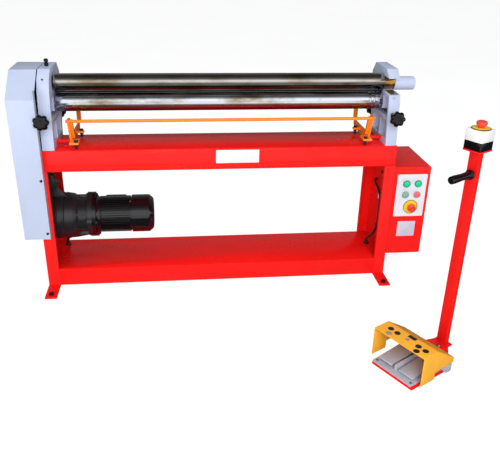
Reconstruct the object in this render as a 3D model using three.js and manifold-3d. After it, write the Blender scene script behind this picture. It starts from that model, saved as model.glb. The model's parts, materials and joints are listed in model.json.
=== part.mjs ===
// Motorised slip roll machine: folded steel stand, cast side stands, three rolls,
// chain and gear drive, gearmotor, control box and a free-standing pedal station.
// Millimetres, +Z up, +X along the rolls, +Y away from the operator.
import * as THREE from 'three';
import { mergeVertices } from 'three/addons/utils/BufferGeometryUtils.js';
import Module from 'manifold-3d';

const wasm = await Module();
wasm.setup();

// Shared clearances
const clearance = 0.3;
const running_gap = 0.3;
const overrun = 2;
const weld_overlap = 1;
const fine_facets = 32;
const middle_facets = 28;
const coarse_facets = 20;
const small_facets = 12;
const hex_sides = 6;
const corner_steps = 3;
const round_steps = 4;

// Rolls
const roll_length = 1300;
const roll_radius = 36;
const left_end_play = 6.5;
const right_end_play = 1.5;
const nip_gap = 2.5;
const journal_radius = 18;
const roll_chamfer = 1.5;
const wire_groove_radii = [3, 4, 5];
const wire_groove_pitch = 18;
const wire_groove_steps = 3;
const journal_inset = 6;
const rear_roll_offset = 92;
const lower_lift = 2;
const rear_lift = 25;
const rear_slope_deg = 40;

// Folded stand
const bench_height = 597;
const bench_depth = 217;
const bench_skirt = 87;
const bench_lip = 22;
const bench_fold = 6;
const bench_fold_cut = 2;
const frame_depth = 296;
const frame_left = 740;
const frame_right = 711;
const leg_width = 48;
const leg_lip = 16;
const sheet = 3;
const shelf_height = 79;
const shelf_setback = 17;
const foot_reach = 105;
const foot_thickness = 8;
const foot_bolt_radius = 6;
const foot_bolt_head = 10;
const foot_bolt_head_height = 8;
const foot_bolt_inset = 22;

// Cast side stands
const stand_thickness = 45;
const stand_height = 293;
const stand_rim = 24;
const stand_pocket_depth = 24;
const roll_axis_y = 122;
const roll_drop = 59;
const block_width = 56;
const block_height = 57;
const boss_margin = 10;
const rib_width = 8;
const cross_rib_share = 0.33;
const pocket_rise = 17;
const pocket_inset = 31;
const rear_lug_depth = 25.5;
const screw_bore_reach = 72;
const slot_reach = 48;
const socket_rebate = 4.5;
const bush_radius = 27;
const swivel_radius = 28;
const swivel_width = 24;
const swivel_inset = 2;
const handle_length = 85;
const handle_cap = 6;
const handle_drop = 5.5;
const oil_cap_radius = 8.5;
const oil_cap_height = 28;
const oil_cap_setback = 25;

// Knobs
const knob_radius = 31;
const knob_lobes = 7;
const knob_lobe_depth_share = 0.17;
const knob_lobe_facets = 6;
const knob_hollow_power = 1.5;
const knob_thickness = 22;
const knob_bevel = 7;
const knob_shift = 4;
const rear_knob_radius = 28;
const rear_knob_reach = 32.5;
const rear_screw_inset = 3.5;
const knob_hub_radius = 14;
const front_hub_length = 16;
const rear_hub_length = 10;
const spindle_radius = 8;
const front_knob_reach = 44;
const cam_radius = 6.5;
const cam_play = 1;
const rear_screw_radius = 9;
const rear_screw_tip = 5;

// Drive
const gear_module = 4;
const gear_teeth = 18;
const gear_width = 25;
const gear_backlash = 0.8;
const pressure_angle_deg = 20;
const dedendum_share = 1.25;
const gear_hub_radius = 34.5;
const gear_hub_share = 0.8;
const drive_hub_radius = 19;
const hub_overlap = 1.5;
const chain_pitch = 12.7;
const chain_links = 108;
const chain_width = 9;
const roller_radius = 4.25;
const link_height = 5.9;
const link_waist_share = 0.72;
const small_sprocket_teeth = 14;
const large_sprocket_teeth = 24;
const sprocket_width = 5;
const sprocket_tip_share = 0.3;
const tooth_tip_share = 0.12;
const far_side_share = 0.8;
const distance_rounds = 20;
const gearbox_axis_y = 140;
const dog_half = 11;
const dog_play = 4.2;
const dog_reach = 15;
const dog_shoulder = 4.5;
const dog_room = 20;
const gear_seat_radius = 14;
const output_hub_radius = 40;
const output_hub_nose = 34;

// Gear cover
const cover_front = -32;
const cover_rear = 262;
const cover_left = 803;
const cover_bottom = 236;
const cover_drop = 26;
const cover_sheet = 2;
const cover_gap = 3;
const cover_shoulder = 90;
const cover_top_inset = 6;

// Gearmotor
const gearbox_radius = 99;
const gearbox_length = 118;
const gearbox_shoulder = 12;
const gearbox_joint_shares = [[0.55, 1], [0.6, 0.96]];
const gearbox_rear_share = 0.92;
const gearbox_webs = 4;
const gearbox_web_share = 0.94;
const neck_radius = 72;
const neck_length = 46;
const flange_radius = 100;
const flange_thickness = 20;
const motor_radius = 69;
const fin_height = 8;
const fin_count = 32;
const fin_thickness = 3;
const fin_tip_half = 1;
const motor_length = 141;
const cowl_radius = 80;
const cowl_length = 90;
const cowl_round = 16;
const terminal_length = 90;
const terminal_width = 84;
const terminal_height = 44;
const terminal_setback = 20;
const mount_margin = 4;
const mount_corner = 24;
const mount_drop = 12;
const mount_web = 8;
const mount_web_height = 103;
const mount_web_reach = 88;
const mount_web_pitch = 80;

// Trip frame
const trip_bar_radius = 6.5;
const trip_arm_x = 597;
const trip_plate = 8;
const trip_pivot_y = 72;
const trip_pivot_rise = 17;
const trip_rod_radius = 8;
const trip_rod_seat = 18;
const trip_front_y = 30;
const trip_front_rise = 107;
const trip_rear_y = 272;
const trip_rear_rise = 125;
const trip_beam_height = 31;
const trip_stop_gap = 3;
const trip_beam_gap = 4.5;
const trip_bar_over = 6;
const trip_post_width = 20;
const trip_post_depth = 13;
const trip_post_out = 4;
const trip_toe = 16;
const trip_heel = 32;
const trip_brace = 24;
const trip_web_rear = 26;
const trip_web_over = 10;
const trip_bolt_radius = 4.5;
const trip_lug_rise = 17;
const trip_lug_thickness = 8;
const trip_lug_half = 10;
const trip_stop_inset = 24;
const trip_stop_front = 15;
const trip_stop_rear = 175;

// Control box
const box_width = 152;
const box_height = 400;
const box_depth = 277;
const box_bottom = 104;
const box_wall = 2;
const box_corner = 4;
const plate_thickness = 1.5;
const plate_margin = 12;
const plate_corner = 4;
const plate_rise = 178;
const plate_drop = 32;
const button_left_share = 0.355;
const button_right_share = 0.68;
const button_upper_share = 0.815;
const button_lower_share = 0.692;
const stop_across_share = 0.54;
const stop_up_share = 0.555;
const button_radius = 11;
const button_proud = 5;
const button_edge = 1;
const button_face_share = 0.7;
const button_travel = 3;
const stop_ring_radius = 29;
const stop_head_radius = 18;
const stop_stem_radius = 10;
const stop_travel = 4;
const stop_bore_depth = 12;
const stop_head_shares = [[0.3, 0.85], [0.55, 1], [0.85, 0.9], [1, 0.55]];

// Motor cable
const cable_radius = 5;
const cable_facets = 8;
const cable_play = 0.6;
const gland_radius = 9;
const gland_nut_radius = 12.6;
const gland_nut_height = 4.5;
const gland_height = 13.5;
const gland_neck_radius = 7.2;
const gland_inset_left = 52;
const gland_setback_left = 48;
const gland_inset_right = 42;
const gland_setback_right = 127;
const box_entry_y = 215;
const box_entry_rise = 268;

// Pedal station
const station_x = 519.3;
const station_y = -697.2;
const station_turn_deg = -60;
const station_plate = 6;
const guard_half_width = 112;
const guard_height = 128;
const guard_wall = 4;
const pedal_width = 60;
const pedal_pitch = 92;
const pedal_thickness = 5;
const pedal_hinge_gap = 10;
const pedal_rib_over = 15;
const post_width = 40;
const post_depth = 20;
const post_wall = 2;
const post_height = 752;
const post_shift = -20;
const post_front = 297;
const stop_box_half = 33;
const stop_box_corner = 5;
const stop_box_base_height = 28;
const stop_box_lid_height = 38;
const grip_length = 106;
const grip_radius = 13;
const grip_drop = 82;
const grip_shares = [
  [1, 0.75],
  [0.97, 1],
  [0.8, 1.05],
  [0.45, 0.92],
  [0.12, 1],
  [0.1, 1.3],
  [0.04, 1.3],
  [0, 1],
];
const plate_half = 90;
const plate_shoulder = 198;
const plate_length = 325;
const plate_tail_half = 32;
const plate_shift = 5;
const guard_front = 24;
const guard_frame_depth = 70;
const hood_rear = 190;
const hood_rear_z = 66;
const body_top = 44;
const tray_thickness = 8;
const pedal_hinge_v = 148;
const pedal_hinge_z = 38;
const pedal_front_v = 22;
const pedal_front_z = 27;

// Derived places
const stand_gap = roll_length + left_end_play + right_end_play;
const stand_inner = stand_gap / 2;
const stand_outer = stand_inner + stand_thickness;
const stand_middle = stand_inner + stand_thickness / 2;
const roll_left = -stand_inner + left_end_play;
const roll_right = roll_left + roll_length;
const stand_top = bench_height + stand_height;
const roll_axis_z = stand_top - roll_drop;
const lower_axis_z = roll_axis_z - 2 * roll_radius - nip_gap;
const rear_axis_y = roll_axis_y + rear_roll_offset;
const rear_axis_z = lower_axis_z;
const rear_slope = THREE.MathUtils.degToRad(rear_slope_deg);
const shelf_depth = frame_depth - shelf_setback;
const swivel_x = -(stand_inner + swivel_inset + swivel_width / 2);
const tau = 2 * Math.PI;

// Solids and booleans

function solid(shape) {
  const plain = shape.clone();
  plain.deleteAttribute('normal');
  if (plain.getAttribute('uv')) plain.deleteAttribute('uv');
  const merged = mergeVertices(plain, 1e-4);
  const vertProperties = new Float32Array(merged.getAttribute('position').array);
  const triVerts = new Uint32Array(merged.getIndex().array);
  return new wasm.Manifold(new wasm.Mesh({ numProp: 3, vertProperties, triVerts }));
}

function shapeOf(body) {
  const mesh = body.getMesh();
  const shape = new THREE.BufferGeometry();
  shape.setAttribute('position', new THREE.BufferAttribute(new Float32Array(mesh.vertProperties), 3));
  shape.setIndex(new THREE.BufferAttribute(new Uint32Array(mesh.triVerts), 1));
  shape.computeVertexNormals();
  return shape;
}

function cut(base, ...tools) {
  let body = solid(base);
  for (const tool of tools) body = body.subtract(solid(tool));
  return shapeOf(body);
}

function join(...parts) {
  let body = solid(parts[0]);
  for (const part of parts.slice(1)) body = body.add(solid(part));
  return shapeOf(body);
}

// Outlines and extrusions

function outline(points, holes = []) {
  const shape = new THREE.Shape(points.map(([u, v]) => new THREE.Vector2(u, v)));
  for (const hole of holes) {
    shape.holes.push(new THREE.Path(hole.map(([u, v]) => new THREE.Vector2(u, v))));
  }
  return shape;
}

function circlePoints(cu, cv, radius, facets, start = 0, sweep = tau) {
  const closed = sweep === tau;
  const points = [];
  for (let i = 0; i < facets + (closed ? 0 : 1); i += 1) {
    const angle = start + (sweep * i) / facets;
    points.push([cu + radius * Math.cos(angle), cv + radius * Math.sin(angle)]);
  }
  return points;
}

function roundedRect(u0, u1, v0, v1, radius, facets = 4) {
  const quarter = Math.PI / 2;
  return [
    ...circlePoints(u1 - radius, v0 + radius, radius, facets, -quarter, quarter),
    ...circlePoints(u1 - radius, v1 - radius, radius, facets, 0, quarter),
    ...circlePoints(u0 + radius, v1 - radius, radius, facets, quarter, quarter),
    ...circlePoints(u0 + radius, v0 + radius, radius, facets, 2 * quarter, quarter),
  ];
}

function extrude(shape, depth, bevel = 0, bevelSteps = 1) {
  return new THREE.ExtrudeGeometry(shape, {
    depth: depth - 2 * bevel,
    bevelEnabled: bevel > 0,
    bevelThickness: bevel,
    bevelSize: bevel,
    bevelOffset: -bevel,
    bevelSegments: bevelSteps,
    steps: 1,
  }).translate(0, 0, bevel);
}

const axis_x = new THREE.Vector3(1, 0, 0);
const axis_y = new THREE.Vector3(0, 1, 0);
const axis_z = new THREE.Vector3(0, 0, 1);

// The outline's u and v run along Y and Z, and it is extruded from x0 to x1.
function alongX(shape, x0, x1, bevel = 0, bevelSteps = 1) {
  const turn = new THREE.Matrix4().makeBasis(axis_y, axis_z, axis_x);
  return extrude(shape, x1 - x0, bevel, bevelSteps).applyMatrix4(turn).translate(x0, 0, 0);
}

// The outline's u and v run along X and Z, and it is extruded from y1 back to y0.
function alongY(shape, y0, y1, bevel = 0, bevelSteps = 1) {
  const turn = new THREE.Matrix4().makeBasis(axis_x, axis_z, axis_y.clone().negate());
  return extrude(shape, y1 - y0, bevel, bevelSteps).applyMatrix4(turn).translate(0, y1, 0);
}

function alongZ(shape, z0, z1, bevel = 0, bevelSteps = 1) {
  return extrude(shape, z1 - z0, bevel, bevelSteps).translate(0, 0, z0);
}

function box(x0, x1, y0, y1, z0, z1) {
  const block = new THREE.BoxGeometry(x1 - x0, y1 - y0, z1 - z0);
  return block.translate((x0 + x1) / 2, (y0 + y1) / 2, (z0 + z1) / 2);
}

// A turned form: [distance along the axis, radius] from one end to the other.
function turned(profile, facets = fine_facets) {
  const points = profile.map(([along, radius]) => new THREE.Vector2(radius, along));
  return new THREE.LatheGeometry(points, facets);
}

function turnedX(profile, y, z, facets = fine_facets) {
  return turned(profile, facets).rotateZ(-Math.PI / 2).translate(0, y, z);
}

function turnedY(profile, x, z, facets = fine_facets) {
  return turned(profile, facets).translate(x, 0, z);
}

function turnedZ(profile, x, y, facets = fine_facets) {
  return turned(profile, facets).rotateX(Math.PI / 2).translate(x, y, 0);
}

function rod(a, b, radius) {
  return [[a, 0], [a, radius], [b, radius], [b, 0]];
}

function ring(a, b, inner, outer) {
  return [[a, inner], [a, outer], [b, outer], [b, inner], [a, inner]];
}

// Model tree

const machine = new THREE.Group();
const colours = {
  red: [0xe0281f, 0.35, 0.0],
  casting: [0xb9c3dc, 0.5, 0.0],
  steel: [0x9a9a96, 0.25, 0.9],
  dark_steel: [0x4a4844, 0.4, 0.8],
  bronze: [0xb8862f, 0.35, 0.8],
  black: [0x141414, 0.45, 0.0],
  orange: [0xff7a10, 0.4, 0.0],
  yellow: [0xf6ab20, 0.45, 0.0],
  white: [0xe8e9ea, 0.5, 0.0],
  green: [0x10c070, 0.35, 0.0],
  grey_green: [0x9fb8a8, 0.35, 0.0],
  pink: [0xe06a72, 0.35, 0.0],
  button_red: [0xd8201c, 0.35, 0.0],
  pedal_grey: [0xb4b6c2, 0.55, 0.0],
};

function add(name, shape, colour, parent = machine) {
  const [color, roughness, metalness] = colours[colour];
  const mesh = new THREE.Mesh(shape, new THREE.MeshStandardMaterial({ color, roughness, metalness }));
  mesh.name = name;
  parent.add(mesh);
  return mesh;
}

// Folded stand: bench channel, shelf tray, end frames and foot bolts

const bench_left = -(frame_left - sheet - clearance);
const bench_right = frame_right - 2 * sheet;
const bench_underside = bench_height - bench_skirt;
const frame_top = bench_underside - clearance;

function benchChannel() {
  const outer = outline([
    [0, bench_underside],
    [0, bench_height - bench_fold],
    [bench_fold_cut, bench_height - bench_fold_cut],
    [bench_fold, bench_height],
    [bench_depth - bench_fold, bench_height],
    [bench_depth - bench_fold_cut, bench_height - bench_fold_cut],
    [bench_depth, bench_height - bench_fold],
    [bench_depth, bench_underside],
    [bench_depth - bench_lip, bench_underside],
    [bench_depth - bench_lip, bench_underside + sheet],
    [bench_depth - sheet, bench_underside + sheet],
    [bench_depth - sheet, bench_height - sheet],
    [sheet, bench_height - sheet],
    [sheet, bench_underside + sheet],
    [bench_lip, bench_underside + sheet],
    [bench_lip, bench_underside],
  ]);
  return alongX(outer, bench_left, bench_right);
}

function shelfTray() {
  const left = -(frame_left - sheet - clearance);
  const right = frame_right - sheet - clearance;
  const skirt_bottom = foot_thickness / 2;
  const tray = alongX(outline([
    [0, skirt_bottom],
    [0, shelf_height],
    [shelf_depth, shelf_height],
    [shelf_depth, skirt_bottom],
    [shelf_depth - sheet, skirt_bottom],
    [shelf_depth - sheet, shelf_height - sheet],
    [sheet, shelf_height - sheet],
    [sheet, skirt_bottom],
  ]), left, right);
  const corners = [];
  const notch_width = leg_width - sheet;
  const notch_depth = leg_lip + clearance;
  for (const [x0, x1] of [
    [left - overrun, left + notch_width],
    [right - notch_width, right + overrun],
  ]) {
    corners.push(box(x0, x1, -overrun, notch_depth, -overrun, shelf_height + overrun));
    corners.push(box(x0, x1, shelf_depth - leg_lip / 2, shelf_depth + overrun,
      -overrun, shelf_height + overrun));
  }
  const gland_tools = cableHoles();
  return cut(tray, ...corners, ...gland_tools);
}

// One end frame is folded from one sheet: a side panel with a leg along each edge.
function endFrame(side) {
  const outer = side * (side < 0 ? frame_left : frame_right);
  const u = (distance) => outer - side * distance;
  const plan = [
    [u(0), 0],
    [u(leg_width), 0],
    [u(leg_width), leg_lip],
    [u(leg_width - sheet), leg_lip],
    [u(leg_width - sheet), sheet],
    [u(sheet), sheet],
    [u(sheet), frame_depth - sheet],
    [u(leg_width - sheet), frame_depth - sheet],
    [u(leg_width - sheet), frame_depth - leg_lip],
    [u(leg_width), frame_depth - leg_lip],
    [u(leg_width), frame_depth],
    [u(0), frame_depth],
  ];
  const x0 = Math.min(u(0), u(leg_width));
  const x1 = Math.max(u(0), u(leg_width));
  const walls = alongZ(outline(plan), foot_thickness - sheet, frame_top);
  const cap = box(x0, x1, 0, frame_depth, frame_top - sheet, frame_top);
  const front_foot = box(x0, x1, -foot_reach, leg_lip, 0, foot_thickness);
  const rear_foot = box(x0, x1, frame_depth - leg_lip, frame_depth + foot_reach, 0, foot_thickness);
  const holes = footBoltPlaces(side).map(([x, y]) => (
    turnedZ(rod(-overrun, foot_thickness + overrun, foot_bolt_radius + clearance), x, y, small_facets)));
  if (side < 0) {
    const hub_hole = output_hub_radius + 2 * cover_sheet;
    holes.push(turnedX(rod(outer - overrun, outer + sheet + overrun, hub_hole),
      gearbox_axis_y, gearbox_axis_z, coarse_facets));
  } else {
    const [x, y, z] = cable_box_entry;
    holes.push(turnedX(rod(x - sheet - overrun, outer + overrun, cable_radius + clearance),
      y, z, small_facets));
  }
  return cut(join(walls, cap, front_foot, rear_foot), ...holes);
}

function footBoltPlaces(side) {
  const x = side * ((side < 0 ? frame_left : frame_right) - leg_width / 2);
  return [
    [x, -foot_reach + foot_bolt_inset],
    [x, frame_depth + foot_reach - foot_bolt_inset],
  ];
}

function footBolt(x, y) {
  const top = foot_thickness + clearance;
  const head = alongZ(outline(circlePoints(x, y, foot_bolt_head, hex_sides)), top,
    top + foot_bolt_head_height);
  const shank = turnedZ(rod(clearance, top + weld_overlap, foot_bolt_radius), x, y, small_facets);
  return join(head, shank);
}

// Cast side stands

const window_side_gap = clearance;
const lower_block_bottom = lower_axis_z - block_height / 2;
const slant = (y, z) => [
  y * Math.cos(rear_slope) - z * Math.sin(rear_slope) + rear_axis_y,
  y * Math.sin(rear_slope) + z * Math.cos(rear_slope) + rear_axis_z,
];
const rear_window_top = block_height / 2 + rear_lift + clearance;
const rear_lug_bottom = block_height / 2 + rear_lug_depth;

const stand_foot_rear = bench_depth - boss_margin;
const stand_front_shares = [
  [0.205, 0.03],
  [0.40, 0.055],
  [0.56, 0.07],
  [0.75, 0.12],
  [0.89, 0.215],
];
const stand_belly_shares = [0.86, 0.56];
const stand_heel_shares = [0.3, 0.12];

// The casting's edge in the YZ plane, from the front foot up and over to the rear foot.
function standProfile() {
  const belly = rear_axis_y + block_width;
  const front = stand_front_shares.map(([up, back]) => (
    [stand_foot_rear * back, bench_height + stand_height * up]));
  const rear = stand_belly_shares.map((up) => [belly, bench_height + stand_height * up]);
  const [heel_top, heel_foot] = stand_heel_shares.map((up) => bench_height + stand_height * up);
  return [
    [0, bench_height + clearance],
    ...front,
    [roll_axis_y - roll_radius, stand_top],
    [rear_axis_y + block_width / 2 - boss_margin, stand_top],
    ...rear,
    [stand_foot_rear + block_width / 2, heel_top],
    [stand_foot_rear + boss_margin / 2, heel_foot],
    [stand_foot_rear, bench_height + clearance],
  ];
}

// The recesses on the inner side leave a rim, a cross rib and an upright rib.
function standPockets(side) {
  const x0 = side < 0 ? -(stand_inner + stand_pocket_depth) : stand_inner - overrun;
  const x1 = side < 0 ? -stand_inner + overrun : stand_inner + stand_pocket_depth;
  const foot = bench_height + stand_rim;
  const cross = bench_height + stand_height * cross_rib_share;
  const rib = rib_width;
  const middle_y = (stand_foot_rear + stand_rim) / 2 - rib;
  const rear_y = stand_foot_rear - stand_rim / 2;
  const lower_front = roundedRect(stand_rim, middle_y - rib / 2, foot, cross, rib);
  const lower_rear = roundedRect(middle_y + rib / 2, rear_y, foot, cross, rib);
  const top = lower_axis_z + block_height / 2;
  const [belly_y] = slant(block_width / 2 + boss_margin, 0);
  const middle = [
    [stand_rim, cross + 2 * rib],
    [rear_axis_y + rib, cross + 2 * rib],
    [belly_y, lower_axis_z - block_height / 2],
    [belly_y, top + pocket_rise],
    [roll_axis_y + block_width, top + pocket_rise],
    [roll_axis_y + block_width / 2, top],
    [pocket_inset, top],
  ];
  return [lower_front, lower_rear, middle].map((points) => alongX(outline(points), x0, x1));
}

function blockWindow(side) {
  const x0 = side * stand_middle - stand_thickness / 2 - overrun;
  const x1 = side * stand_middle + stand_thickness / 2 + overrun;
  const half = block_width / 2 + window_side_gap;
  const lower = box(x0, x1, roll_axis_y - half, roll_axis_y + half,
    lower_block_bottom - window_side_gap, lower_block_bottom + block_height + lower_lift + clearance);
  const corners = [
    slant(-half, -block_height / 2 - window_side_gap),
    slant(half, -block_height / 2 - window_side_gap),
    slant(half, rear_window_top),
    slant(-half, rear_window_top),
  ];
  return [lower, alongX(outline(corners), x0, x1)];
}

const frontKnobX = (side) => side * stand_middle - knob_shift;
const rearKnobX = (side) => side * (stand_middle - rear_screw_inset);

function spindleBores(side) {
  const x = frontKnobX(side);
  const bore = turnedY(rod(-front_knob_reach, roll_axis_y, spindle_radius + clearance), x, cam_axis_z,
    coarse_facets);
  const cam_half = cam_radius + cam_play + 2 * clearance;
  const cam_room = box(x - cam_half, x + cam_half, cam_front - clearance, cam_rear + clearance,
    cam_axis_z - cam_radius - cam_throw - clearance, lower_block_bottom);
  const screw = turnedZ(rod(-rear_lug_bottom - screw_bore_reach, -block_height / 2,
    rear_screw_radius + clearance), 0, 0, coarse_facets)
    .rotateX(rear_slope).translate(rearKnobX(side), rear_axis_y, rear_axis_z);
  return [bore, cam_room, screw];
}

const cam_throw = lower_lift / 2;
const cam_axis_z = lower_block_bottom - clearance - cam_radius + cam_throw;
const cam_front = roll_axis_y - block_width / 2;
const cam_rear = roll_axis_y + block_width / 2;

function leftSideStand() {
  const body = alongX(outline(standProfile()), -stand_outer, -stand_inner);
  const bearing_boss = turnedX(rod(-stand_outer + overrun, -stand_inner,
    swivel_radius + boss_margin), roll_axis_y, roll_axis_z);
  const bore = turnedX(rod(-stand_outer - overrun, -stand_inner + overrun,
    swivel_radius + clearance), roll_axis_y, roll_axis_z);
  const gear_seat = turnedX(rod(-stand_outer - overrun, gear_journal_end,
    gear_hub_radius + running_gap), roll_axis_y, roll_axis_z);
  return cut(join(cut(body, ...standPockets(-1)), bearing_boss), bore, gear_seat,
    pivotSeat(-1), ...blockWindow(-1), ...spindleBores(-1));
}

// A slot with a round rear end, open to the front.
function slotTool(axis_z, half, x0, x1) {
  return alongX(outline([
    [-slot_reach, axis_z - half],
    ...circlePoints(roll_axis_y, axis_z, half, coarse_facets, -Math.PI / 2, Math.PI),
    [-slot_reach, axis_z + half],
  ]), x0, x1);
}

// The roll swings out through the slot; a rebate round its outer end lets the lever socket past.
function rightSideStand() {
  const body = alongX(outline(standProfile()), stand_inner, stand_outer);
  const outside = stand_outer + overrun;
  const slot = slotTool(roll_axis_z, bush_radius + running_gap * 2, stand_inner - overrun, outside);
  const rebate = slotTool(roll_axis_z - handle_drop, bush_radius + clearance,
    stand_outer - socket_rebate, outside);
  return cut(body, ...standPockets(1), slot, rebate, pivotSeat(1), ...blockWindow(1),
    ...spindleBores(1));
}

// Rolls and their bearings

function upperRoll() {
  const dog_start = swivel_x - swivel_width / 2 - weld_overlap;
  const handle_bore_end = handle_end - handle_cap - clearance;
  const body = turnedX([
    [dog_start, 0],
    [dog_start, journal_radius],
    [roll_left, journal_radius],
    [roll_left, roll_radius - roll_chamfer],
    [roll_left + roll_chamfer, roll_radius],
    [roll_right - roll_chamfer, roll_radius],
    [roll_right, roll_radius - roll_chamfer],
    [roll_right, journal_radius],
    [handle_bore_end, journal_radius],
    [handle_bore_end, 0],
  ], roll_axis_y, roll_axis_z);
  const dog = box(dog_start - dog_reach, dog_start + weld_overlap,
    roll_axis_y - dog_half, roll_axis_y + dog_half, roll_axis_z - dog_half, roll_axis_z + dog_half);
  return join(body, dog);
}

function groovedRoll(left_end, left_radius, axis_y_place, axis_z_place) {
  const profile = [
    [left_end, 0],
    [left_end, left_radius],
    [-stand_outer - clearance, left_radius],
    [-stand_outer - clearance, journal_radius],
    [roll_left, journal_radius],
    [roll_left, roll_radius - roll_chamfer],
    [roll_left + roll_chamfer, roll_radius],
  ];
  wire_groove_radii.slice().reverse().forEach((radius, i) => {
    const centre = roll_right - wire_groove_pitch * (wire_groove_radii.length - i);
    for (let step = 0; step <= wire_groove_steps; step += 1) {
      const angle = Math.PI * (step / wire_groove_steps);
      profile.push([centre - radius * Math.cos(angle), roll_radius - radius * Math.sin(angle)]);
    }
  });
  profile.push(
    [roll_right - roll_chamfer, roll_radius],
    [roll_right, roll_radius - roll_chamfer],
    [roll_right, journal_radius],
    [stand_outer - journal_inset, journal_radius],
    [stand_outer - journal_inset, 0],
  );
  return turnedX(profile, axis_y_place, axis_z_place);
}

function swivelBearing() {
  const half = swivel_width / 2;
  const profile = [];
  for (let i = 0; i <= round_steps; i += 1) {
    const along = -half + (swivel_width * i) / round_steps;
    profile.push([swivel_x + along, Math.sqrt(swivel_radius ** 2 - along ** 2)]);
  }
  profile.push([swivel_x + half, journal_radius + running_gap]);
  profile.push([swivel_x - half, journal_radius + running_gap]);
  profile.push(profile[0]);
  return turnedX(profile, roll_axis_y, roll_axis_z);
}

function bronzeBush() {
  return turnedX(ring(stand_inner + clearance, stand_outer - clearance,
    journal_radius + running_gap, bush_radius), roll_axis_y, roll_axis_z);
}

const handle_end = stand_outer + handle_length;

// The lever socket hangs a little below the journal that it turns on.
function releaseHandle() {
  const body = turnedX([
    [stand_outer, 0],
    [stand_outer, bush_radius],
    [handle_end - roll_chamfer * 2, bush_radius],
    [handle_end, bush_radius - roll_chamfer * 2],
    [handle_end, 0],
  ], roll_axis_y, roll_axis_z - handle_drop);
  const bore = turnedX(rod(stand_outer - overrun, handle_end - handle_cap, journal_radius + running_gap),
    roll_axis_y, roll_axis_z);
  return cut(body, bore);
}

function lowerBlock(side) {
  const x = side * stand_middle;
  const half = stand_thickness / 2 - clearance;
  const bore = circlePoints(roll_axis_y, lower_axis_z, journal_radius + running_gap, fine_facets);
  const edge = roundedRect(roll_axis_y - block_width / 2, roll_axis_y + block_width / 2,
    lower_block_bottom, lower_block_bottom + block_height, roll_chamfer, 1);
  return alongX(outline(edge, [bore]), x - half, x + half);
}

function rearBlock(side) {
  const x = side * stand_middle;
  const half = stand_thickness / 2 - clearance;
  const corners = [[-1, -1], [1, -1], [1, 1], [-1, 1]].map(([a, b]) => (
    slant((a * block_width) / 2, (b * block_height) / 2)));
  const bore = circlePoints(rear_axis_y, rear_axis_z, journal_radius + running_gap, fine_facets);
  return alongX(outline(corners, [bore]), x - half, x + half);
}

// Knobs: a lobed grip on a shouldered spindle

function lobedGrip(outer) {
  const points = [];
  const count = knob_lobes * knob_lobe_facets;
  for (let i = 0; i < count; i += 1) {
    const angle = (tau * i) / count;
    const hollow = (1 - Math.cos(knob_lobes * angle)) / 2;
    const radius = outer * (1 - knob_lobe_depth_share * hollow ** knob_hollow_power);
    points.push([radius * Math.cos(angle), radius * Math.sin(angle)]);
  }
  return extrude(outline(points), knob_thickness, knob_bevel, 1);
}

// The grip faces along +Z of its own frame, and its spindle runs down -Z.
function knobBody(outer, hub_length, spindle_length, radius, tip) {
  const hub = turned([
    [-spindle_length, 0],
    [-spindle_length, radius - tip],
    [-spindle_length + tip, radius],
    [-hub_length, radius],
    [-hub_length, knob_hub_radius - knob_bevel / 2],
    [-knob_bevel, knob_hub_radius],
    [knob_bevel, knob_hub_radius],
    [knob_bevel, 0],
  ], coarse_facets).rotateX(Math.PI / 2);
  return join(lobedGrip(outer), hub);
}

function frontKnob(side) {
  const grip_rear = -front_knob_reach;
  const spindle = cam_front - grip_rear - clearance;
  const cam = turned(rod(grip_rear - cam_rear, -spindle + weld_overlap, cam_radius), coarse_facets)
    .rotateX(Math.PI / 2).translate(0, -cam_throw, 0);
  return join(knobBody(knob_radius, front_hub_length, spindle, spindle_radius, clearance), cam)
    .rotateX(Math.PI / 2).translate(frontKnobX(side), grip_rear, cam_axis_z);
}

function rearKnob(side) {
  const spindle = rear_knob_start - block_height / 2 - clearance;
  return knobBody(rear_knob_radius, rear_hub_length, spindle, rear_screw_radius, rear_screw_tip)
    .rotateX(Math.PI).translate(0, 0, -rear_knob_start)
    .rotateX(rear_slope).translate(rearKnobX(side), rear_axis_y, rear_axis_z);
}

const rear_knob_start = block_height / 2 + rear_knob_reach + rear_lift + rear_hub_length;

// Gears, sprockets and chain

function gearOutline(teeth, phase) {
  const pitch_radius = (gear_module * teeth) / 2;
  const tip = pitch_radius + gear_module;
  const root = pitch_radius - gear_module * dedendum_share;
  const base = pitch_radius * Math.cos(THREE.MathUtils.degToRad(pressure_angle_deg));
  const involute = (radius) => {
    const t = Math.sqrt(Math.max((radius / base) ** 2 - 1, 0));
    return t - Math.atan(t);
  };
  const half_at_pitch = Math.PI / (2 * teeth) - gear_backlash / (2 * pitch_radius);
  const flank = [base, pitch_radius, tip];
  const points = [];
  for (let tooth = 0; tooth < teeth; tooth += 1) {
    const centre = phase + (tau * tooth) / teeth;
    const half = (radius) => half_at_pitch + involute(pitch_radius) - involute(radius);
    points.push([root, centre - half(base)]);
    for (const radius of flank) points.push([radius, centre - half(radius)]);
    for (const radius of flank.slice().reverse()) points.push([radius, centre + half(radius)]);
    points.push([root, centre + half(base)]);
  }
  return points.map(([radius, angle]) => [radius * Math.cos(angle), radius * Math.sin(angle)]);
}

function sprocketRadius(teeth) {
  return chain_pitch / (2 * Math.sin(Math.PI / teeth));
}

function sprocketTip(teeth) {
  return sprocketRadius(teeth) + roller_radius * sprocket_tip_share;
}

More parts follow.
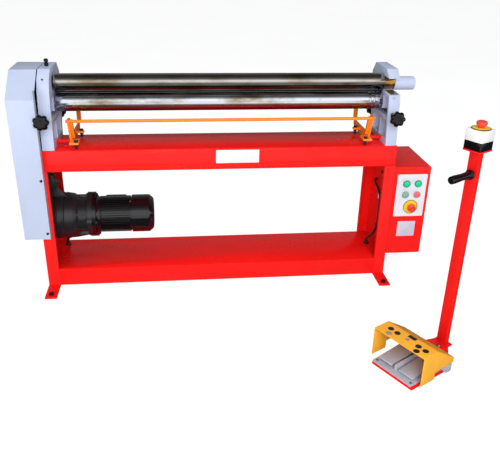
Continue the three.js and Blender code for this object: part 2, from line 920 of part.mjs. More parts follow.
function sprocketOutline(teeth, phase) {
  const pitch_radius = sprocketRadius(teeth);
  const tip = sprocketTip(teeth);
  const seat = roller_radius + clearance;
  const points = [];
  for (let tooth = 0; tooth < teeth; tooth += 1) {
    const centre = phase + (tau * tooth) / teeth;
    const cy = pitch_radius * Math.cos(centre);
    const cz = pitch_radius * Math.sin(centre);
    for (let i = 0; i <= round_steps; i += 1) {
      const angle = centre - Math.PI / 2 - (Math.PI * i) / round_steps;
      points.push([cy + seat * Math.cos(angle), cz + seat * Math.sin(angle)]);
    }
    const next = centre + Math.PI / teeth;
    const tip_half = tooth_tip_share * (tau / teeth);
    points.push([tip * Math.cos(next - tip_half), tip * Math.sin(next - tip_half)]);
    points.push([tip * Math.cos(next + tip_half), tip * Math.sin(next + tip_half)]);
  }
  return points;
}

// The chain's whole number of links sets how far apart the two sprockets stand.
function sprocketDistance() {
  const r0 = sprocketRadius(small_sprocket_teeth);
  const r1 = sprocketRadius(large_sprocket_teeth);
  const wrap = (teeth, angle) => (chain_pitch * teeth * angle) / tau;
  let distance = (chain_pitch * chain_links) / 2 - (Math.PI * (r0 + r1)) / 2;
  for (let i = 0; i < distance_rounds; i += 1) {
    const lean = Math.asin((r1 - r0) / distance);
    const length = 2 * distance * Math.cos(lean) + wrap(large_sprocket_teeth, Math.PI + 2 * lean)
      + wrap(small_sprocket_teeth, Math.PI - 2 * lean);
    distance += (chain_pitch * chain_links - length) / 2;
  }
  return distance;
}

const sprocket_distance = sprocketDistance();
const sprocket_lean_y = gearbox_axis_y - roll_axis_y;
const gearbox_axis_z = roll_axis_z - Math.sqrt(sprocket_distance ** 2 - sprocket_lean_y ** 2);
const gear_right = -(stand_outer + cover_gap * 2);
const gear_left = gear_right - gear_width;
const chain_x = gear_left - gear_width - chain_width / 2;
const gear_journal_end = swivel_x - swivel_width / 2 - dog_shoulder;
const centre_angle = Math.atan2(gearbox_axis_z - roll_axis_z, sprocket_lean_y);

// Places of the chain's pins round both sprockets, one link apart.
function chainPins() {
  const r0 = sprocketRadius(small_sprocket_teeth);
  const r1 = sprocketRadius(large_sprocket_teeth);
  const lean = Math.asin((r1 - r0) / sprocket_distance);
  const side = sprocket_distance * Math.cos(lean);
  const link_angle = (teeth) => tau / (teeth * chain_pitch);
  const arc1 = (Math.PI + 2 * lean) / link_angle(large_sprocket_teeth);
  const arc0 = (Math.PI - 2 * lean) / link_angle(small_sprocket_teeth);
  const along = [Math.cos(centre_angle), Math.sin(centre_angle)];
  const across = [-along[1], along[0]];
  const place = (u, v) => [
    roll_axis_y + along[0] * u + across[0] * v,
    roll_axis_z + along[1] * u + across[1] * v,
  ];
  const at = (distance) => {
    if (distance < arc1) {
      const angle = Math.PI / 2 - lean + distance * link_angle(large_sprocket_teeth);
      return place(r1 * Math.cos(angle), r1 * Math.sin(angle));
    }
    let rest = distance - arc1;
    if (rest < side) {
      const angle = -(Math.PI / 2 - lean);
      const start = [r1 * Math.cos(angle), r1 * Math.sin(angle)];
      return place(start[0] + rest * Math.cos(lean), start[1] + rest * Math.sin(lean));
    }
    rest -= side;
    if (rest < arc0) {
      const angle = -(Math.PI / 2 - lean) + rest * link_angle(small_sprocket_teeth);
      return place(sprocket_distance + r0 * Math.cos(angle), r0 * Math.sin(angle));
    }
    rest -= arc0;
    const angle = Math.PI / 2 - lean;
    const start = [sprocket_distance + r0 * Math.cos(angle), r0 * Math.sin(angle)];
    return place(start[0] - rest * Math.cos(lean), start[1] + rest * Math.sin(lean));
  };
  const total = arc1 + arc0 + 2 * side;
  const pins = [];
  for (let i = 0; i < chain_links; i += 1) pins.push(at(((i + 0.5) * total) / chain_links));
  return pins;
}

// One band of links, scalloped along both edges, with a slot where each sprocket's teeth run in it.
function rollerChain() {
  const pins = chainPins();
  const edges = [1, -1].map((side) => {
    const edge = [];
    pins.forEach((pin, i) => {
      const before = pins[(i + pins.length - 1) % pins.length];
      const after = pins[(i + 1) % pins.length];
      const length = Math.hypot(after[0] - before[0], after[1] - before[1]);
      const ahead = [(after[0] - before[0]) / length, (after[1] - before[1]) / length];
      const out = [ahead[1] * side, -ahead[0] * side];
      const waist = link_height * link_waist_share;
      edge.push([pin[0] + out[0] * link_height, pin[1] + out[1] * link_height]);
      edge.push([
        (pin[0] + after[0]) / 2 + out[0] * waist,
        (pin[1] + after[1]) / 2 + out[1] * waist,
      ]);
    });
    return edge;
  });
  const band = alongX(outline(edges[0], [edges[1]]), chain_x - chain_width / 2, chain_x + chain_width / 2);
  const half_slot = sprocket_width / 2 + clearance;
  const slots = [
    [large_sprocket_teeth, roll_axis_y, roll_axis_z],
    [small_sprocket_teeth, gearbox_axis_y, gearbox_axis_z],
  ].map(([teeth, y, z]) => turnedX(rod(chain_x - half_slot, chain_x + half_slot,
    sprocketTip(teeth) + 2 * clearance), y, z));
  return cut(band, ...slots);
}

function upperGear() {
  const place = (shape) => shape.translate(0, roll_axis_y, roll_axis_z);
  const gear = place(alongX(outline(gearOutline(gear_teeth, -Math.PI / 2)), gear_left, gear_right));
  const sprocket = place(alongX(outline(sprocketOutline(large_sprocket_teeth, sprocketPhase(1))),
    chain_x - sprocket_width / 2, chain_x + sprocket_width / 2));
  const hub = turnedX([
    [chain_x - chain_width, 0],
    [chain_x - chain_width, gear_hub_radius / 2],
    [chain_x - hub_overlap, gear_hub_radius / 2],
    [chain_x, gear_hub_radius * gear_hub_share],
    [gear_right + clearance * 2, gear_hub_radius * gear_hub_share],
    [gear_right + clearance * 2, gear_hub_radius],
    [gear_journal_end - clearance, gear_hub_radius],
    [gear_journal_end - clearance, 0],
  ], roll_axis_y, roll_axis_z);
  const half = dog_half + dog_play;
  const pocket = box(gear_journal_end - dog_room - clearance, gear_journal_end + overrun,
    roll_axis_y - half, roll_axis_y + half, roll_axis_z - half, roll_axis_z + half);
  return cut(join(gear, sprocket, hub), pocket);
}

// Angle at which a sprocket's first seat meets a pin of the chain, from the pin nearest its far side.
function sprocketPhase(which) {
  const centre = which > 0 ? [roll_axis_y, roll_axis_z] : [gearbox_axis_y, gearbox_axis_z];
  const teeth = which > 0 ? large_sprocket_teeth : small_sprocket_teeth;
  const radius = sprocketRadius(teeth);
  let best = 0;
  let best_error = Infinity;
  for (const [y, z] of chainPins()) {
    const error = Math.abs(Math.hypot(y - centre[0], z - centre[1]) - radius);
    const ahead = (y - centre[0]) * Math.cos(centre_angle) + (z - centre[1]) * Math.sin(centre_angle);
    if (ahead * which < -radius * far_side_share && error < best_error) {
      best_error = error;
      best = Math.atan2(z - centre[1], y - centre[0]);
    }
  }
  return best;
}

function lowerGear() {
  const phase = Math.PI / 2 + Math.PI / gear_teeth;
  const bore = circlePoints(0, 0, gear_seat_radius + clearance, coarse_facets);
  return alongX(outline(gearOutline(gear_teeth, phase), [bore]), gear_left, gear_right)
    .translate(0, roll_axis_y, lower_axis_z);
}

function driveSprocket() {
  const wheel = alongX(outline(sprocketOutline(small_sprocket_teeth, sprocketPhase(-1))),
    chain_x - sprocket_width / 2, chain_x + sprocket_width / 2)
    .translate(0, gearbox_axis_y, gearbox_axis_z);
  const shaft = turnedX([
    [chain_x - chain_width, 0],
    [chain_x - chain_width, gear_seat_radius],
    [chain_x - hub_overlap, gear_seat_radius],
    [chain_x, drive_hub_radius],
    [gearbox_nose - clearance, drive_hub_radius],
    [gearbox_nose - clearance, gear_seat_radius],
    [gearbox_nose + gear_width, gear_seat_radius],
    [gearbox_nose + gear_width, 0],
  ], gearbox_axis_y, gearbox_axis_z, coarse_facets);
  return join(wheel, shaft);
}

// Gear cover: a folded shell that closes round the gears and the chain

function coverOutline(inset, open) {
  return [
    [cover_front + inset, cover_bottom - open],
    [cover_front + inset, stand_top - cover_shoulder],
    [roll_axis_y - roll_radius - cover_top_inset + inset / 2, stand_top - inset],
    [rear_axis_y + roll_radius / 2 - inset / 2, stand_top - inset],
    [cover_rear - inset, stand_top - cover_shoulder / 2],
    [cover_rear - inset, cover_bottom - cover_drop - open],
    [roll_axis_y - roll_radius, cover_bottom - cover_drop - open],
  ];
}

// The shell is open below and towards the stand, and a lip along its front edge turns inwards.
function gearCover() {
  const right = -(stand_outer + cover_gap);
  const shell = cut(alongX(outline(coverOutline(0, 0)), -cover_left, right),
    alongX(outline(coverOutline(cover_sheet, overrun)), -cover_left + cover_sheet, right + overrun));
  const frame_zone = box(-(frame_left + clearance * 2), right + overrun,
    -clearance * 2, cover_rear + overrun, cover_bottom - cover_drop - overrun, bench_height + clearance * 2);
  const lip = box(right - cover_sheet, right, cover_front + cover_sheet / 2, -cover_sheet,
    cover_bottom, roll_axis_z);
  return join(cut(shell, frame_zone), lip);
}

// Gearmotor on its mounting plate

const gearbox_nose = -(frame_left + cover_gap * 2);
const gearbox_left = -(frame_left - 2 * cover_gap - sheet);
const gearbox_right = gearbox_left + gearbox_length;
const flange_left = gearbox_right + neck_length;
const motor_left = flange_left + flange_thickness * 2 + clearance;

function gearbox() {
  const shoulder = gearbox_shoulder;
  const joint = gearbox_joint_shares.map(([along, out]) => (
    [gearbox_left + gearbox_length * along, gearbox_radius * out]));
  const body = turnedX([
    [gearbox_nose, 0],
    [gearbox_nose, output_hub_nose],
    [gearbox_nose + cover_gap, output_hub_radius],
    [gearbox_left, output_hub_radius],
    [gearbox_left, gearbox_radius - shoulder],
    [gearbox_left + shoulder, gearbox_radius],
    ...joint,
    [gearbox_right - shoulder, gearbox_radius * gearbox_rear_share],
    [gearbox_right, neck_radius + shoulder],
    [gearbox_right + flange_thickness / 2, neck_radius],
    [flange_left, neck_radius],
    [flange_left, flange_radius],
    [flange_left + flange_thickness, flange_radius],
    [flange_left + flange_thickness, 0],
  ], gearbox_axis_y, gearbox_axis_z);
  const webs = [];
  const web_reach = flange_radius * gearbox_web_share;
  for (let i = 0; i < gearbox_webs; i += 1) {
    const angle = (tau * (i + 1 / 2)) / gearbox_webs;
    webs.push(alongX(outline([
      [0, -fin_thickness],
      [web_reach, -fin_thickness],
      [web_reach, fin_thickness],
      [0, fin_thickness],
    ]), gearbox_right - shoulder * 2, flange_left + weld_overlap).rotateX(angle)
      .translate(0, gearbox_axis_y, gearbox_axis_z));
  }
  const bore = turnedX(rod(gearbox_nose - overrun, gearbox_nose + gear_width + clearance,
    gear_seat_radius + running_gap), gearbox_axis_y, gearbox_axis_z, coarse_facets);
  return cut(join(body, ...webs), bore);
}

const mount_web_shares = [
  [0, 1],
  [0.2, 0.99],
  [0.48, 0.9],
  [0.48, 0.77],
  [0.74, 0.67],
  [0.75, 0.58],
  [0.6, 0.5],
  [0.66, 0.33],
  [0.84, 0.12],
  [1, 0],
  [0, 0],
];

// A plate against the end frame's panel carries the gearbox, with two webs over the gearbox case.
function motorMount() {
  const right = gearbox_left - clearance;
  const left = -(frame_left - sheet - clearance);
  const hole = circlePoints(gearbox_axis_y, gearbox_axis_z, output_hub_radius + clearance, middle_facets);
  const front = leg_lip + mount_margin;
  const rear = frame_depth - leg_lip - mount_margin;
  const foot = gearbox_axis_z - gearbox_radius - mount_drop;
  const head = frame_top - sheet - clearance;
  const plate = alongX(outline([
    [front, foot + mount_corner],
    [front + mount_corner, foot],
    [rear - mount_corner, foot],
    [rear, foot + mount_corner],
    [rear, head],
    [front, head],
  ], [hole]), left, right);
  const bottom = gearbox_axis_z + gearbox_radius + clearance;
  const edge = mount_web_shares.map(([out, up]) => [
    right - weld_overlap + out * mount_web_reach, bottom + up * mount_web_height]);
  const webs = [-1, 1].map((side) => {
    const y = gearbox_axis_y + (side * mount_web_pitch) / 2;
    return alongY(outline(edge), y - mount_web / 2, y + mount_web / 2);
  });
  return join(plate, ...webs);
}

function motorBody() {
  const body = turnedX([
    [motor_left - flange_thickness, 0],
    [motor_left - flange_thickness, flange_radius],
    [motor_left - clearance, flange_radius],
    [motor_left + fin_height, motor_radius],
    [motor_left + motor_length - clearance, motor_radius],
    [motor_left + motor_length - clearance, 0],
  ], gearbox_axis_y, gearbox_axis_z);
  const fins = [];
  for (let i = 0; i < fin_count; i += 1) {
    fins.push(alongX(outline([
      [motor_radius - fin_height, -fin_thickness / 2],
      [motor_radius + fin_height, -fin_tip_half],
      [motor_radius + fin_height, fin_tip_half],
      [motor_radius - fin_height, fin_thickness / 2],
    ]), motor_left, motor_left + motor_length - fin_height).rotateX((tau * (i + 1 / 2)) / fin_count)
      .translate(0, gearbox_axis_y, gearbox_axis_z));
  }
  const cable_box = box(terminal_left, terminal_left + terminal_length,
    gearbox_axis_y + motor_radius / 2, gearbox_axis_y + motor_radius + terminal_height,
    gearbox_axis_z - terminal_width / 2, gearbox_axis_z + terminal_width / 2);
  return join(body, ...fins, cable_box);
}

const terminal_left = motor_left + terminal_setback;

function fanCowl() {
  const start = motor_left + motor_length;
  const end = start + cowl_length;
  const round = cowl_round;
  const profile = [[start, 0], [start, cowl_radius]];
  for (let i = 0; i <= round_steps; i += 1) {
    const angle = (Math.PI / 2) * (i / round_steps);
    profile.push([end - round + round * Math.sin(angle), cowl_radius - round + round * Math.cos(angle)]);
  }
  profile.push([end, 0]);
  return turnedX(profile, gearbox_axis_y, gearbox_axis_z);
}

// Trip frame: a rocking bar in front of the rolls and one behind, on low arms

const trip_centre = (side) => side * trip_arm_x;
const trip_pivot_z = bench_height + trip_pivot_rise;
const trip_front_z = bench_height + trip_front_rise;
const trip_rear_z = bench_height + trip_rear_rise;

function tripArm(side) {
  const x = trip_centre(side);
  const half = trip_plate / 2;
  const w = trip_bar_radius;
  const beam_bottom = bench_height + trip_beam_gap;
  const beam_top = beam_bottom + trip_beam_height;
  const edge = [
    [trip_pivot_y - trip_toe, trip_pivot_z - trip_rod_radius],
    [trip_pivot_y + trip_heel, beam_bottom],
    [trip_rear_y - w, beam_bottom],
    [trip_rear_y + w, beam_bottom + 2 * w],
    [trip_rear_y + w, trip_rear_z],
    [trip_rear_y - w, trip_rear_z],
    [trip_rear_y - w, beam_top],
    [trip_pivot_y + trip_brace, beam_top],
    [trip_front_y + trip_web_rear, trip_front_z + w],
    [trip_front_y - trip_web_over, trip_front_z + w],
  ];
  const pivot = circlePoints(trip_pivot_y, trip_pivot_z, trip_rod_radius + running_gap, coarse_facets);
  return alongX(outline(edge, [pivot]), x - half, x + half);
}

// The front post stands across the arm's front edge and carries the bar.
function tripPost(side) {
  const a = trip_centre(side) + side * trip_post_out;
  const b = a - side * trip_post_width;
  const top_y = trip_front_y - trip_bar_radius;
  const foot_y = trip_pivot_y - trip_toe;
  const foot_z = trip_pivot_z + trip_rod_radius * 2;
  return alongX(outline([
    [foot_y, foot_z],
    [foot_y + trip_post_depth, foot_z],
    [top_y + trip_post_depth, trip_front_z + trip_bar_radius],
    [top_y, trip_front_z + trip_bar_radius],
  ]), Math.min(a, b), Math.max(a, b));
}

// A stop bolt stands in a lug on the arm's inner side, just clear of the bench.
function tripStop(side, y) {
  const x = trip_centre(side) - side * trip_stop_inset;
  const arm = trip_centre(side);
  const shank = trip_bolt_radius;
  const foot = bench_height + trip_stop_gap;
  const lug_bottom = foot + trip_lug_rise;
  const lug_top = lug_bottom + trip_lug_thickness;
  const reach = y < trip_pivot_y ? trip_pivot_y - trip_rod_radius : y + trip_lug_half;
  const far = x - side * trip_lug_half;
  const lug = box(Math.min(far, arm), Math.max(far, arm), y - trip_lug_half, reach, lug_bottom, lug_top);
  const bolt = turnedZ([
    [foot, 0],
    [foot, shank],
    [lug_top, shank],
    [lug_top, trip_bar_radius],
    [lug_top + trip_bar_radius, trip_bar_radius],
    [lug_top + trip_bar_radius, 0],
  ], x, y, small_facets);
  return join(lug, bolt);
}

function tripFrame() {
  const left = trip_centre(-1) - trip_plate / 2;
  const right = trip_centre(1) + trip_plate / 2;
  const front = turnedX(rod(left - trip_bar_over, right + trip_bar_over, trip_bar_radius),
    trip_front_y, trip_front_z, small_facets);
  const rear = turnedX(rod(left, right, trip_bar_radius), trip_rear_y, trip_rear_z, small_facets);
  const parts = [tripArm(-1), tripArm(1), front, rear];
  for (const side of [-1, 1]) {
    parts.push(tripPost(side), tripStop(side, trip_stop_front), tripStop(side, trip_stop_rear));
  }
  return join(...parts);
}

function pivotRod(side) {
  const a = side * (stand_inner + trip_rod_seat - clearance);
  const b = trip_centre(side) - side * trip_plate;
  return turnedX([
    [Math.min(a, b), 0],
    [Math.min(a, b), trip_rod_radius],
    [Math.max(a, b), trip_rod_radius],
    [Math.max(a, b), 0],
  ], trip_pivot_y, trip_pivot_z, coarse_facets);
}

function pivotSeat(side) {
  const a = side * (stand_inner - overrun);
  const b = side * (stand_inner + trip_rod_seat);
  return turnedX(rod(Math.min(a, b), Math.max(a, b), trip_rod_radius + clearance),
    trip_pivot_y, trip_pivot_z, coarse_facets);
}

// Control box with its push buttons

const box_left = frame_right + clearance;
const box_right = box_left + box_width;
const box_top = box_bottom + box_height;
const button_left_x = box_left + box_width * button_left_share;
const button_right_x = box_left + box_width * button_right_share;
const button_upper_z = box_bottom + box_height * button_upper_share;
const button_lower_z = box_bottom + box_height * button_lower_share;
const panel_stop_x = box_left + box_width * stop_across_share;
const panel_stop_z = box_bottom + box_height * stop_up_share;

function buttonPlaces() {
  return [
    ['power_lamp', button_left_x, button_upper_z, 'green'],
    ['start_button', button_right_x, button_upper_z, 'green'],
    ['jog_button', button_left_x, button_lower_z, 'grey_green'],
    ['off_button', button_right_x, button_lower_z, 'pink'],
  ];
}

function controlBox() {
  const edge = roundedRect(box_left, box_right, box_bottom, box_top, box_corner, corner_steps);
  const shell = alongY(outline(edge), 0, box_depth);
  const hollow = box(box_left + box_wall, box_right - box_wall, box_wall, box_depth - box_wall,
    box_bottom + box_wall, box_top - box_wall);
  const holes = buttonPlaces().map(([, x, z]) => (
    turnedY(rod(-overrun, box_wall + overrun, button_radius + clearance), x, z, coarse_facets)));
  holes.push(turnedY(rod(-overrun, box_wall + overrun, stop_stem_radius + clearance),
    panel_stop_x, panel_stop_z, coarse_facets));
  const [, cable_y, cable_z] = cable_box_entry;
  holes.push(turnedX(rod(box_left - overrun, box_left + box_wall + overrun, cable_radius + clearance),
    cable_y, cable_z, small_facets));
  return cut(shell, hollow, ...holes);
}

function panelPlate() {
  const edge = roundedRect(box_left + plate_margin, box_right - plate_margin,
    box_bottom + plate_rise, box_top - plate_drop, plate_corner, corner_steps);
  const holes = buttonPlaces().map(([, x, z]) => (
    circlePoints(x, z, button_radius + clearance, coarse_facets)));
  holes.push(circlePoints(panel_stop_x, panel_stop_z, stop_stem_radius + clearance, coarse_facets));
  return alongY(outline(edge, holes), -clearance - plate_thickness, -clearance);
}

function pushButton(x, z) {
  const back = box_wall + button_travel;
  const front = -clearance - plate_thickness - button_proud;
  return turnedY([
    [front, 0],
    [front, button_radius * button_face_share],
    [front + button_edge, button_radius],
    [back, button_radius],
    [back, 0],
  ], x, z, coarse_facets);
}

function stopRing(x, z) {
  const rear = -2 * clearance - plate_thickness;
  return turnedY(ring(rear - plate_thickness * 2, rear, stop_stem_radius + clearance, stop_ring_radius),
    x, z, middle_facets);
}

function stopHeadPoints(seat, facing) {
  return stop_head_shares.map(([along, out]) => (
    [seat + facing * stop_head_radius * along, stop_head_radius * out]));
}

function stopHead(x, z) {
  const seat = -2 * clearance - plate_thickness * 3 - stop_travel - clearance;
  return turnedY([
    [seat - stop_head_radius, 0],
    ...stopHeadPoints(seat, -1).reverse(),
    [seat, stop_stem_radius],
    [box_wall + stop_travel, stop_stem_radius],
    [box_wall + stop_travel, 0],
  ], x, z, coarse_facets);
}

// Motor cable, held all the way from the terminal box to the control box

const cable_box_entry = [frame_right, box_entry_y, box_bottom + box_entry_rise];
const cable_shelf_entry = [-(frame_left - gland_inset_left), shelf_depth - gland_setback_left];
const cable_shelf_exit = [frame_right - gland_inset_right, shelf_depth - gland_setback_right];

function cableRoute() {
  const start_x = terminal_left + terminal_length / 4;
  const start_y = gearbox_axis_y + motor_radius + terminal_height / 2;
  const start_z = gearbox_axis_z - terminal_width / 2 - clearance;
  const [in_x, in_y] = cable_shelf_entry;
  const [out_x, out_y] = cable_shelf_exit;
  const [box_x, box_y, box_z] = cable_box_entry;
  return [
    [start_x, start_y, start_z],
    [start_x, start_y, start_z - 12],
    [start_x - 14, start_y, start_z - 44],
    [start_x - 60, start_y, start_z - 82],
    [-640, in_y, 122],
    [-676, in_y, 117],
    [in_x, in_y, 104],
    [in_x, in_y, 94],
    [in_x, in_y, 72],
    [in_x, in_y, 62],
    [-676, in_y, 47],
    [-640, in_y, 42],
    [0, 190, 40],
    [620, out_y, 42],
    [656, out_y, 47],
    [out_x, out_y, 62],
    [out_x, out_y, 72],
    [out_x, out_y, 94],
    [out_x, out_y, 104],
    [690, 150, 125],
    [700, 135, 160],
    [700, 121, 195],
    [700, 119, 255],
    [700, 123, 320],
    [698, 147, 346],
    [696, 180, 361],
    [696, 203, 370],
    [701, 213.5, 371.8],
    [box_x - 5, box_y, box_z],
    [box_x + 3, box_y, box_z],
    [box_x + 10, box_y, box_z],
    [box_x + 24, box_y, box_z],
  ];
}

// A route whose steps follow its own points, so that the long straight runs take few of them.
class Route extends THREE.CatmullRomCurve3 {
  getPointAt(share, target) {
    return this.getPoint(share, target);
  }

  getTangentAt(share, target) {
    return this.getTangent(share, target);
  }
}

function motorCable() {
  const points = cableRoute().map(([x, y, z]) => new THREE.Vector3(x, y, z));
  const path = new Route(points, false, 'centripetal');
  const steps = 2 * (points.length - 1);
  const section = outline(circlePoints(0, 0, cable_radius, cable_facets));
  return new THREE.ExtrudeGeometry(section, { steps, extrudePath: path, bevelEnabled: false });
}

function cableHoles() {
  return [cable_shelf_entry, cable_shelf_exit].map(([x, y]) => (
    turnedZ(rod(shelf_height - sheet - overrun, shelf_height + overrun, gland_radius + clearance),
      x, y, small_facets)));
}

function cableGland([x, y]) {
  const z = shelf_height;
  return turnedZ([
    [z - sheet - overrun, cable_radius + cable_play],
    [z - sheet - overrun, gland_radius],
    [z + clearance, gland_radius],
    [z + clearance, gland_nut_radius],
    [z + gland_nut_height, gland_nut_radius],
    [z + gland_height, gland_neck_radius],
    [z + gland_height, cable_radius + cable_play],
    [z - sheet - overrun, cable_radius + cable_play],
  ], x, y, small_facets);
}

// Pedal station, drawn square in its own frame: u across, v back to the post

const station = new THREE.Group();
station.position.set(station_x, station_y, 0);
station.rotation.z = THREE.MathUtils.degToRad(station_turn_deg);

const tray_top = station_plate + tray_thickness;

function stationPlate() {
  const tail = post_shift - plate_shift;
  const tail_start = post_front + station_plate / 2;
  return alongZ(outline([
    [-plate_half, 0],
    [plate_half, 0],
    [plate_half, plate_shoulder],
    [tail + plate_tail_half, tail_start],
    [tail + plate_tail_half, plate_length],
    [tail - plate_tail_half, plate_length],
    [tail - plate_tail_half, tail_start],
    [-plate_half, plate_shoulder],
  ].map(([u, v]) => [u + plate_shift, v])), 0, station_plate);
}

function stationPost() {
  const u0 = post_shift - post_width / 2;
  const u1 = post_shift + post_width / 2;
  const v0 = post_front;
  const v1 = post_front + post_depth;
  const z0 = station_plate + clearance;
  const tube = cut(box(u0, u1, v0, v1, z0, post_height),
    box(u0 + post_wall, u1 - post_wall, v0 + post_wall, v1 - post_wall,
      z0 - overrun, post_height - post_wall));
  const shelf = box(post_shift - stop_box_half, post_shift + stop_box_half,
    v0 + post_depth / 2 - stop_box_half, v0 + post_depth / 2 + stop_box_half,
    post_height - post_wall, post_height + post_wall * 2);
  return join(tube, shelf);
}

function pedalBody() {
  const half = plate_half - guard_wall;
  const tray = box(-half, half, guard_wall, hood_rear - guard_wall * 2,
    station_plate + clearance, tray_top);
  const foot = tray_top - weld_overlap;
  const rear = box(-guard_half_width, guard_half_width, pedal_hinge_v + pedal_hinge_gap,
    hood_rear - guard_wall * 2, foot, body_top);
  const hinge_bar = box(-half, half,
    pedal_hinge_v - pedal_thickness / 2, pedal_hinge_v + pedal_thickness / 2,
    foot, pedal_hinge_z - pedal_thickness - 2 * clearance);
  const rib = box(-guard_wall, guard_wall, guard_front, pedal_hinge_v + pedal_rib_over,
    foot, body_top - guard_wall * 2);
  return join(tray, rear, rib, hinge_bar);
}

function guardOutline(inset, open) {
  const top = guard_height - inset;
  const knee = guard_front + guard_frame_depth;
  return [
    [guard_front - open, tray_top + clearance - open],
    [guard_front - open, top],
    [knee - inset / 2, top],
    [hood_rear - inset, hood_rear_z - inset / 2],
    [hood_rear - inset, body_top + clearance - open],
    [knee + inset * 2, body_top + clearance - open],
    [knee + inset * 2, tray_top + clearance - open],
  ];
}

// The hood is one moulding: a tall frame over the pedals, sloping down behind them.
function pedalGuard() {
  const outer = alongX(outline(guardOutline(0, 0)), -guard_half_width, guard_half_width,
    guard_wall / 2);
  const inner = alongX(outline(guardOutline(guard_wall, overrun)),
    -guard_half_width + guard_wall, guard_half_width - guard_wall);
  return cut(outer, inner);
}

function footPedal(side) {
  const u = (side * pedal_pitch) / 2;
  const edge = [
    [pedal_front_v, pedal_front_z - pedal_thickness],
    [pedal_hinge_v, pedal_hinge_z - pedal_thickness],
    [pedal_hinge_v + pedal_thickness, pedal_hinge_z - pedal_thickness / 2],
    [pedal_hinge_v, pedal_hinge_z],
    [pedal_front_v + pedal_thickness / 2, pedal_front_z],
    [pedal_front_v, pedal_front_z - pedal_thickness / 2],
  ];
  return alongX(outline(edge), u - pedal_width / 2, u + pedal_width / 2);
}

function postGrip() {
  const v = post_front - clearance;
  const profile = grip_shares.map(([along, out]) => [v - grip_length * along, grip_radius * out]);
  return turnedY([[v - grip_length, 0], ...profile, [v, 0]], post_shift, grip_z, coarse_facets);
}

const grip_z = post_height - grip_drop;
const box_centre_v = post_front + post_depth / 2;
const stop_box_z = post_height + post_wall * 2 + clearance;

function stopBoxPart(z0, z1) {
  const h = stop_box_half;
  const edge = roundedRect(post_shift - h, post_shift + h, box_centre_v - h, box_centre_v + h,
    stop_box_corner, corner_steps);
  return alongZ(outline(edge), z0, z1);
}

function stopBoxLid() {
  const z0 = stop_box_z + stop_box_base_height + clearance;
  const z1 = z0 + stop_box_lid_height;
  const bore = turnedZ(rod(z1 - stop_bore_depth, z1 + overrun, stop_stem_radius + clearance),
    post_shift, box_centre_v, coarse_facets);
  return cut(stopBoxPart(z0, z1), bore);
}

const lid_top = stop_box_z + stop_box_base_height + clearance + stop_box_lid_height;

function postRing() {
  return turnedZ(ring(lid_top + clearance, lid_top + clearance + plate_thickness * 2,
    stop_stem_radius + clearance, stop_ring_radius), post_shift, box_centre_v, middle_facets);
}

function postStopButton() {
  const seat = lid_top + clearance * 2 + plate_thickness * 2 + stop_travel;
  return turnedZ([
    [lid_top - stop_travel, 0],
    [lid_top - stop_travel, stop_stem_radius],
    [seat, stop_stem_radius],
    ...stopHeadPoints(seat, 1),
    [seat + stop_head_radius, 0],
  ], post_shift, box_centre_v, coarse_facets);
}

// Oil cap on the left stand's top edge

const oil_cap_shares = [
  [0, 0],
  [0, 0.7],
  [0.16, 1],
  [0.36, 1],
  [0.52, 0.6],
  [0.68, 1],
  [0.88, 1],
  [1, 0.6],
  [1, 0],
];

function oilCap() {
  const bottom = stand_top + clearance;
  const profile = oil_cap_shares.map(([up, out]) => [bottom + up * oil_cap_height, out * oil_cap_radius]);
  return turnedZ(profile, -stand_middle, roll_axis_y + oil_cap_setback, coarse_facets);
}

// Assembly

add('bench_channel', benchChannel(), 'red');
add('shelf_tray', shelfTray(), 'red');
add('left_end_frame', endFrame(-1), 'red');
add('right_end_frame', endFrame(1), 'red');
for (const [side, side_name] of [[-1, 'left'], [1, 'right']]) {
  footBoltPlaces(side).forEach(([x, y], i) => {
    add(`foot_bolt_${i ? 'rear' : 'front'}_${side_name}`, footBolt(x, y), 'black');
  });
}
add('left_side_stand', leftSideStand(), 'casting');
add('right_side_stand', rightSideStand(), 'casting');
add('gear_cover', gearCover(), 'casting');
add('oil_cap', oilCap(), 'black');
add('upper_roll', upperRoll(), 'steel');
add('swivel_bearing', swivelBearing(), 'bronze');
add('bronze_bush', bronzeBush(), 'bronze');
add('release_handle', releaseHandle(), 'casting');
add('upper_gear', upperGear(), 'dark_steel');
add('lower_roll', groovedRoll(gear_left, gear_seat_radius, roll_axis_y, lower_axis_z), 'steel');
add('lower_gear', lowerGear(), 'dark_steel');
add('rear_roll', groovedRoll(-stand_outer - clearance * 2, gear_seat_radius, rear_axis_y, rear_axis_z),
  'steel');
for (const [side, side_name] of [[-1, 'left'], [1, 'right']]) {
  add(`lower_bearing_${side_name}`, lowerBlock(side), 'casting');
  add(`rear_bearing_${side_name}`, rearBlock(side), 'dark_steel');
  add(`front_knob_${side_name}`, frontKnob(side), 'black');
  add(`rear_knob_${side_name}`, rearKnob(side), 'black');
  add(`pivot_rod_${side_name}`, pivotRod(side), 'red');
}
add('drive_sprocket', driveSprocket(), 'dark_steel');
add('roller_chain', rollerChain(), 'dark_steel');
add('gearbox', gearbox(), 'black');
add('motor_mount', motorMount(), 'black');
add('motor_body', motorBody(), 'black');
add('fan_cowl', fanCowl(), 'black');
add('trip_frame', tripFrame(), 'orange');
add('control_box', controlBox(), 'red');
add('panel_plate', panelPlate(), 'white');
for (const [name, x, z, colour] of buttonPlaces()) add(name, pushButton(x, z), colour);
add('panel_stop_ring', stopRing(panel_stop_x, panel_stop_z), 'yellow');
add('panel_stop_button', stopHead(panel_stop_x, panel_stop_z), 'button_red');
add('motor_cable', motorCable(), 'black');
add('shelf_gland_left', cableGland(cable_shelf_entry), 'black');
add('shelf_gland_right', cableGland(cable_shelf_exit), 'black');

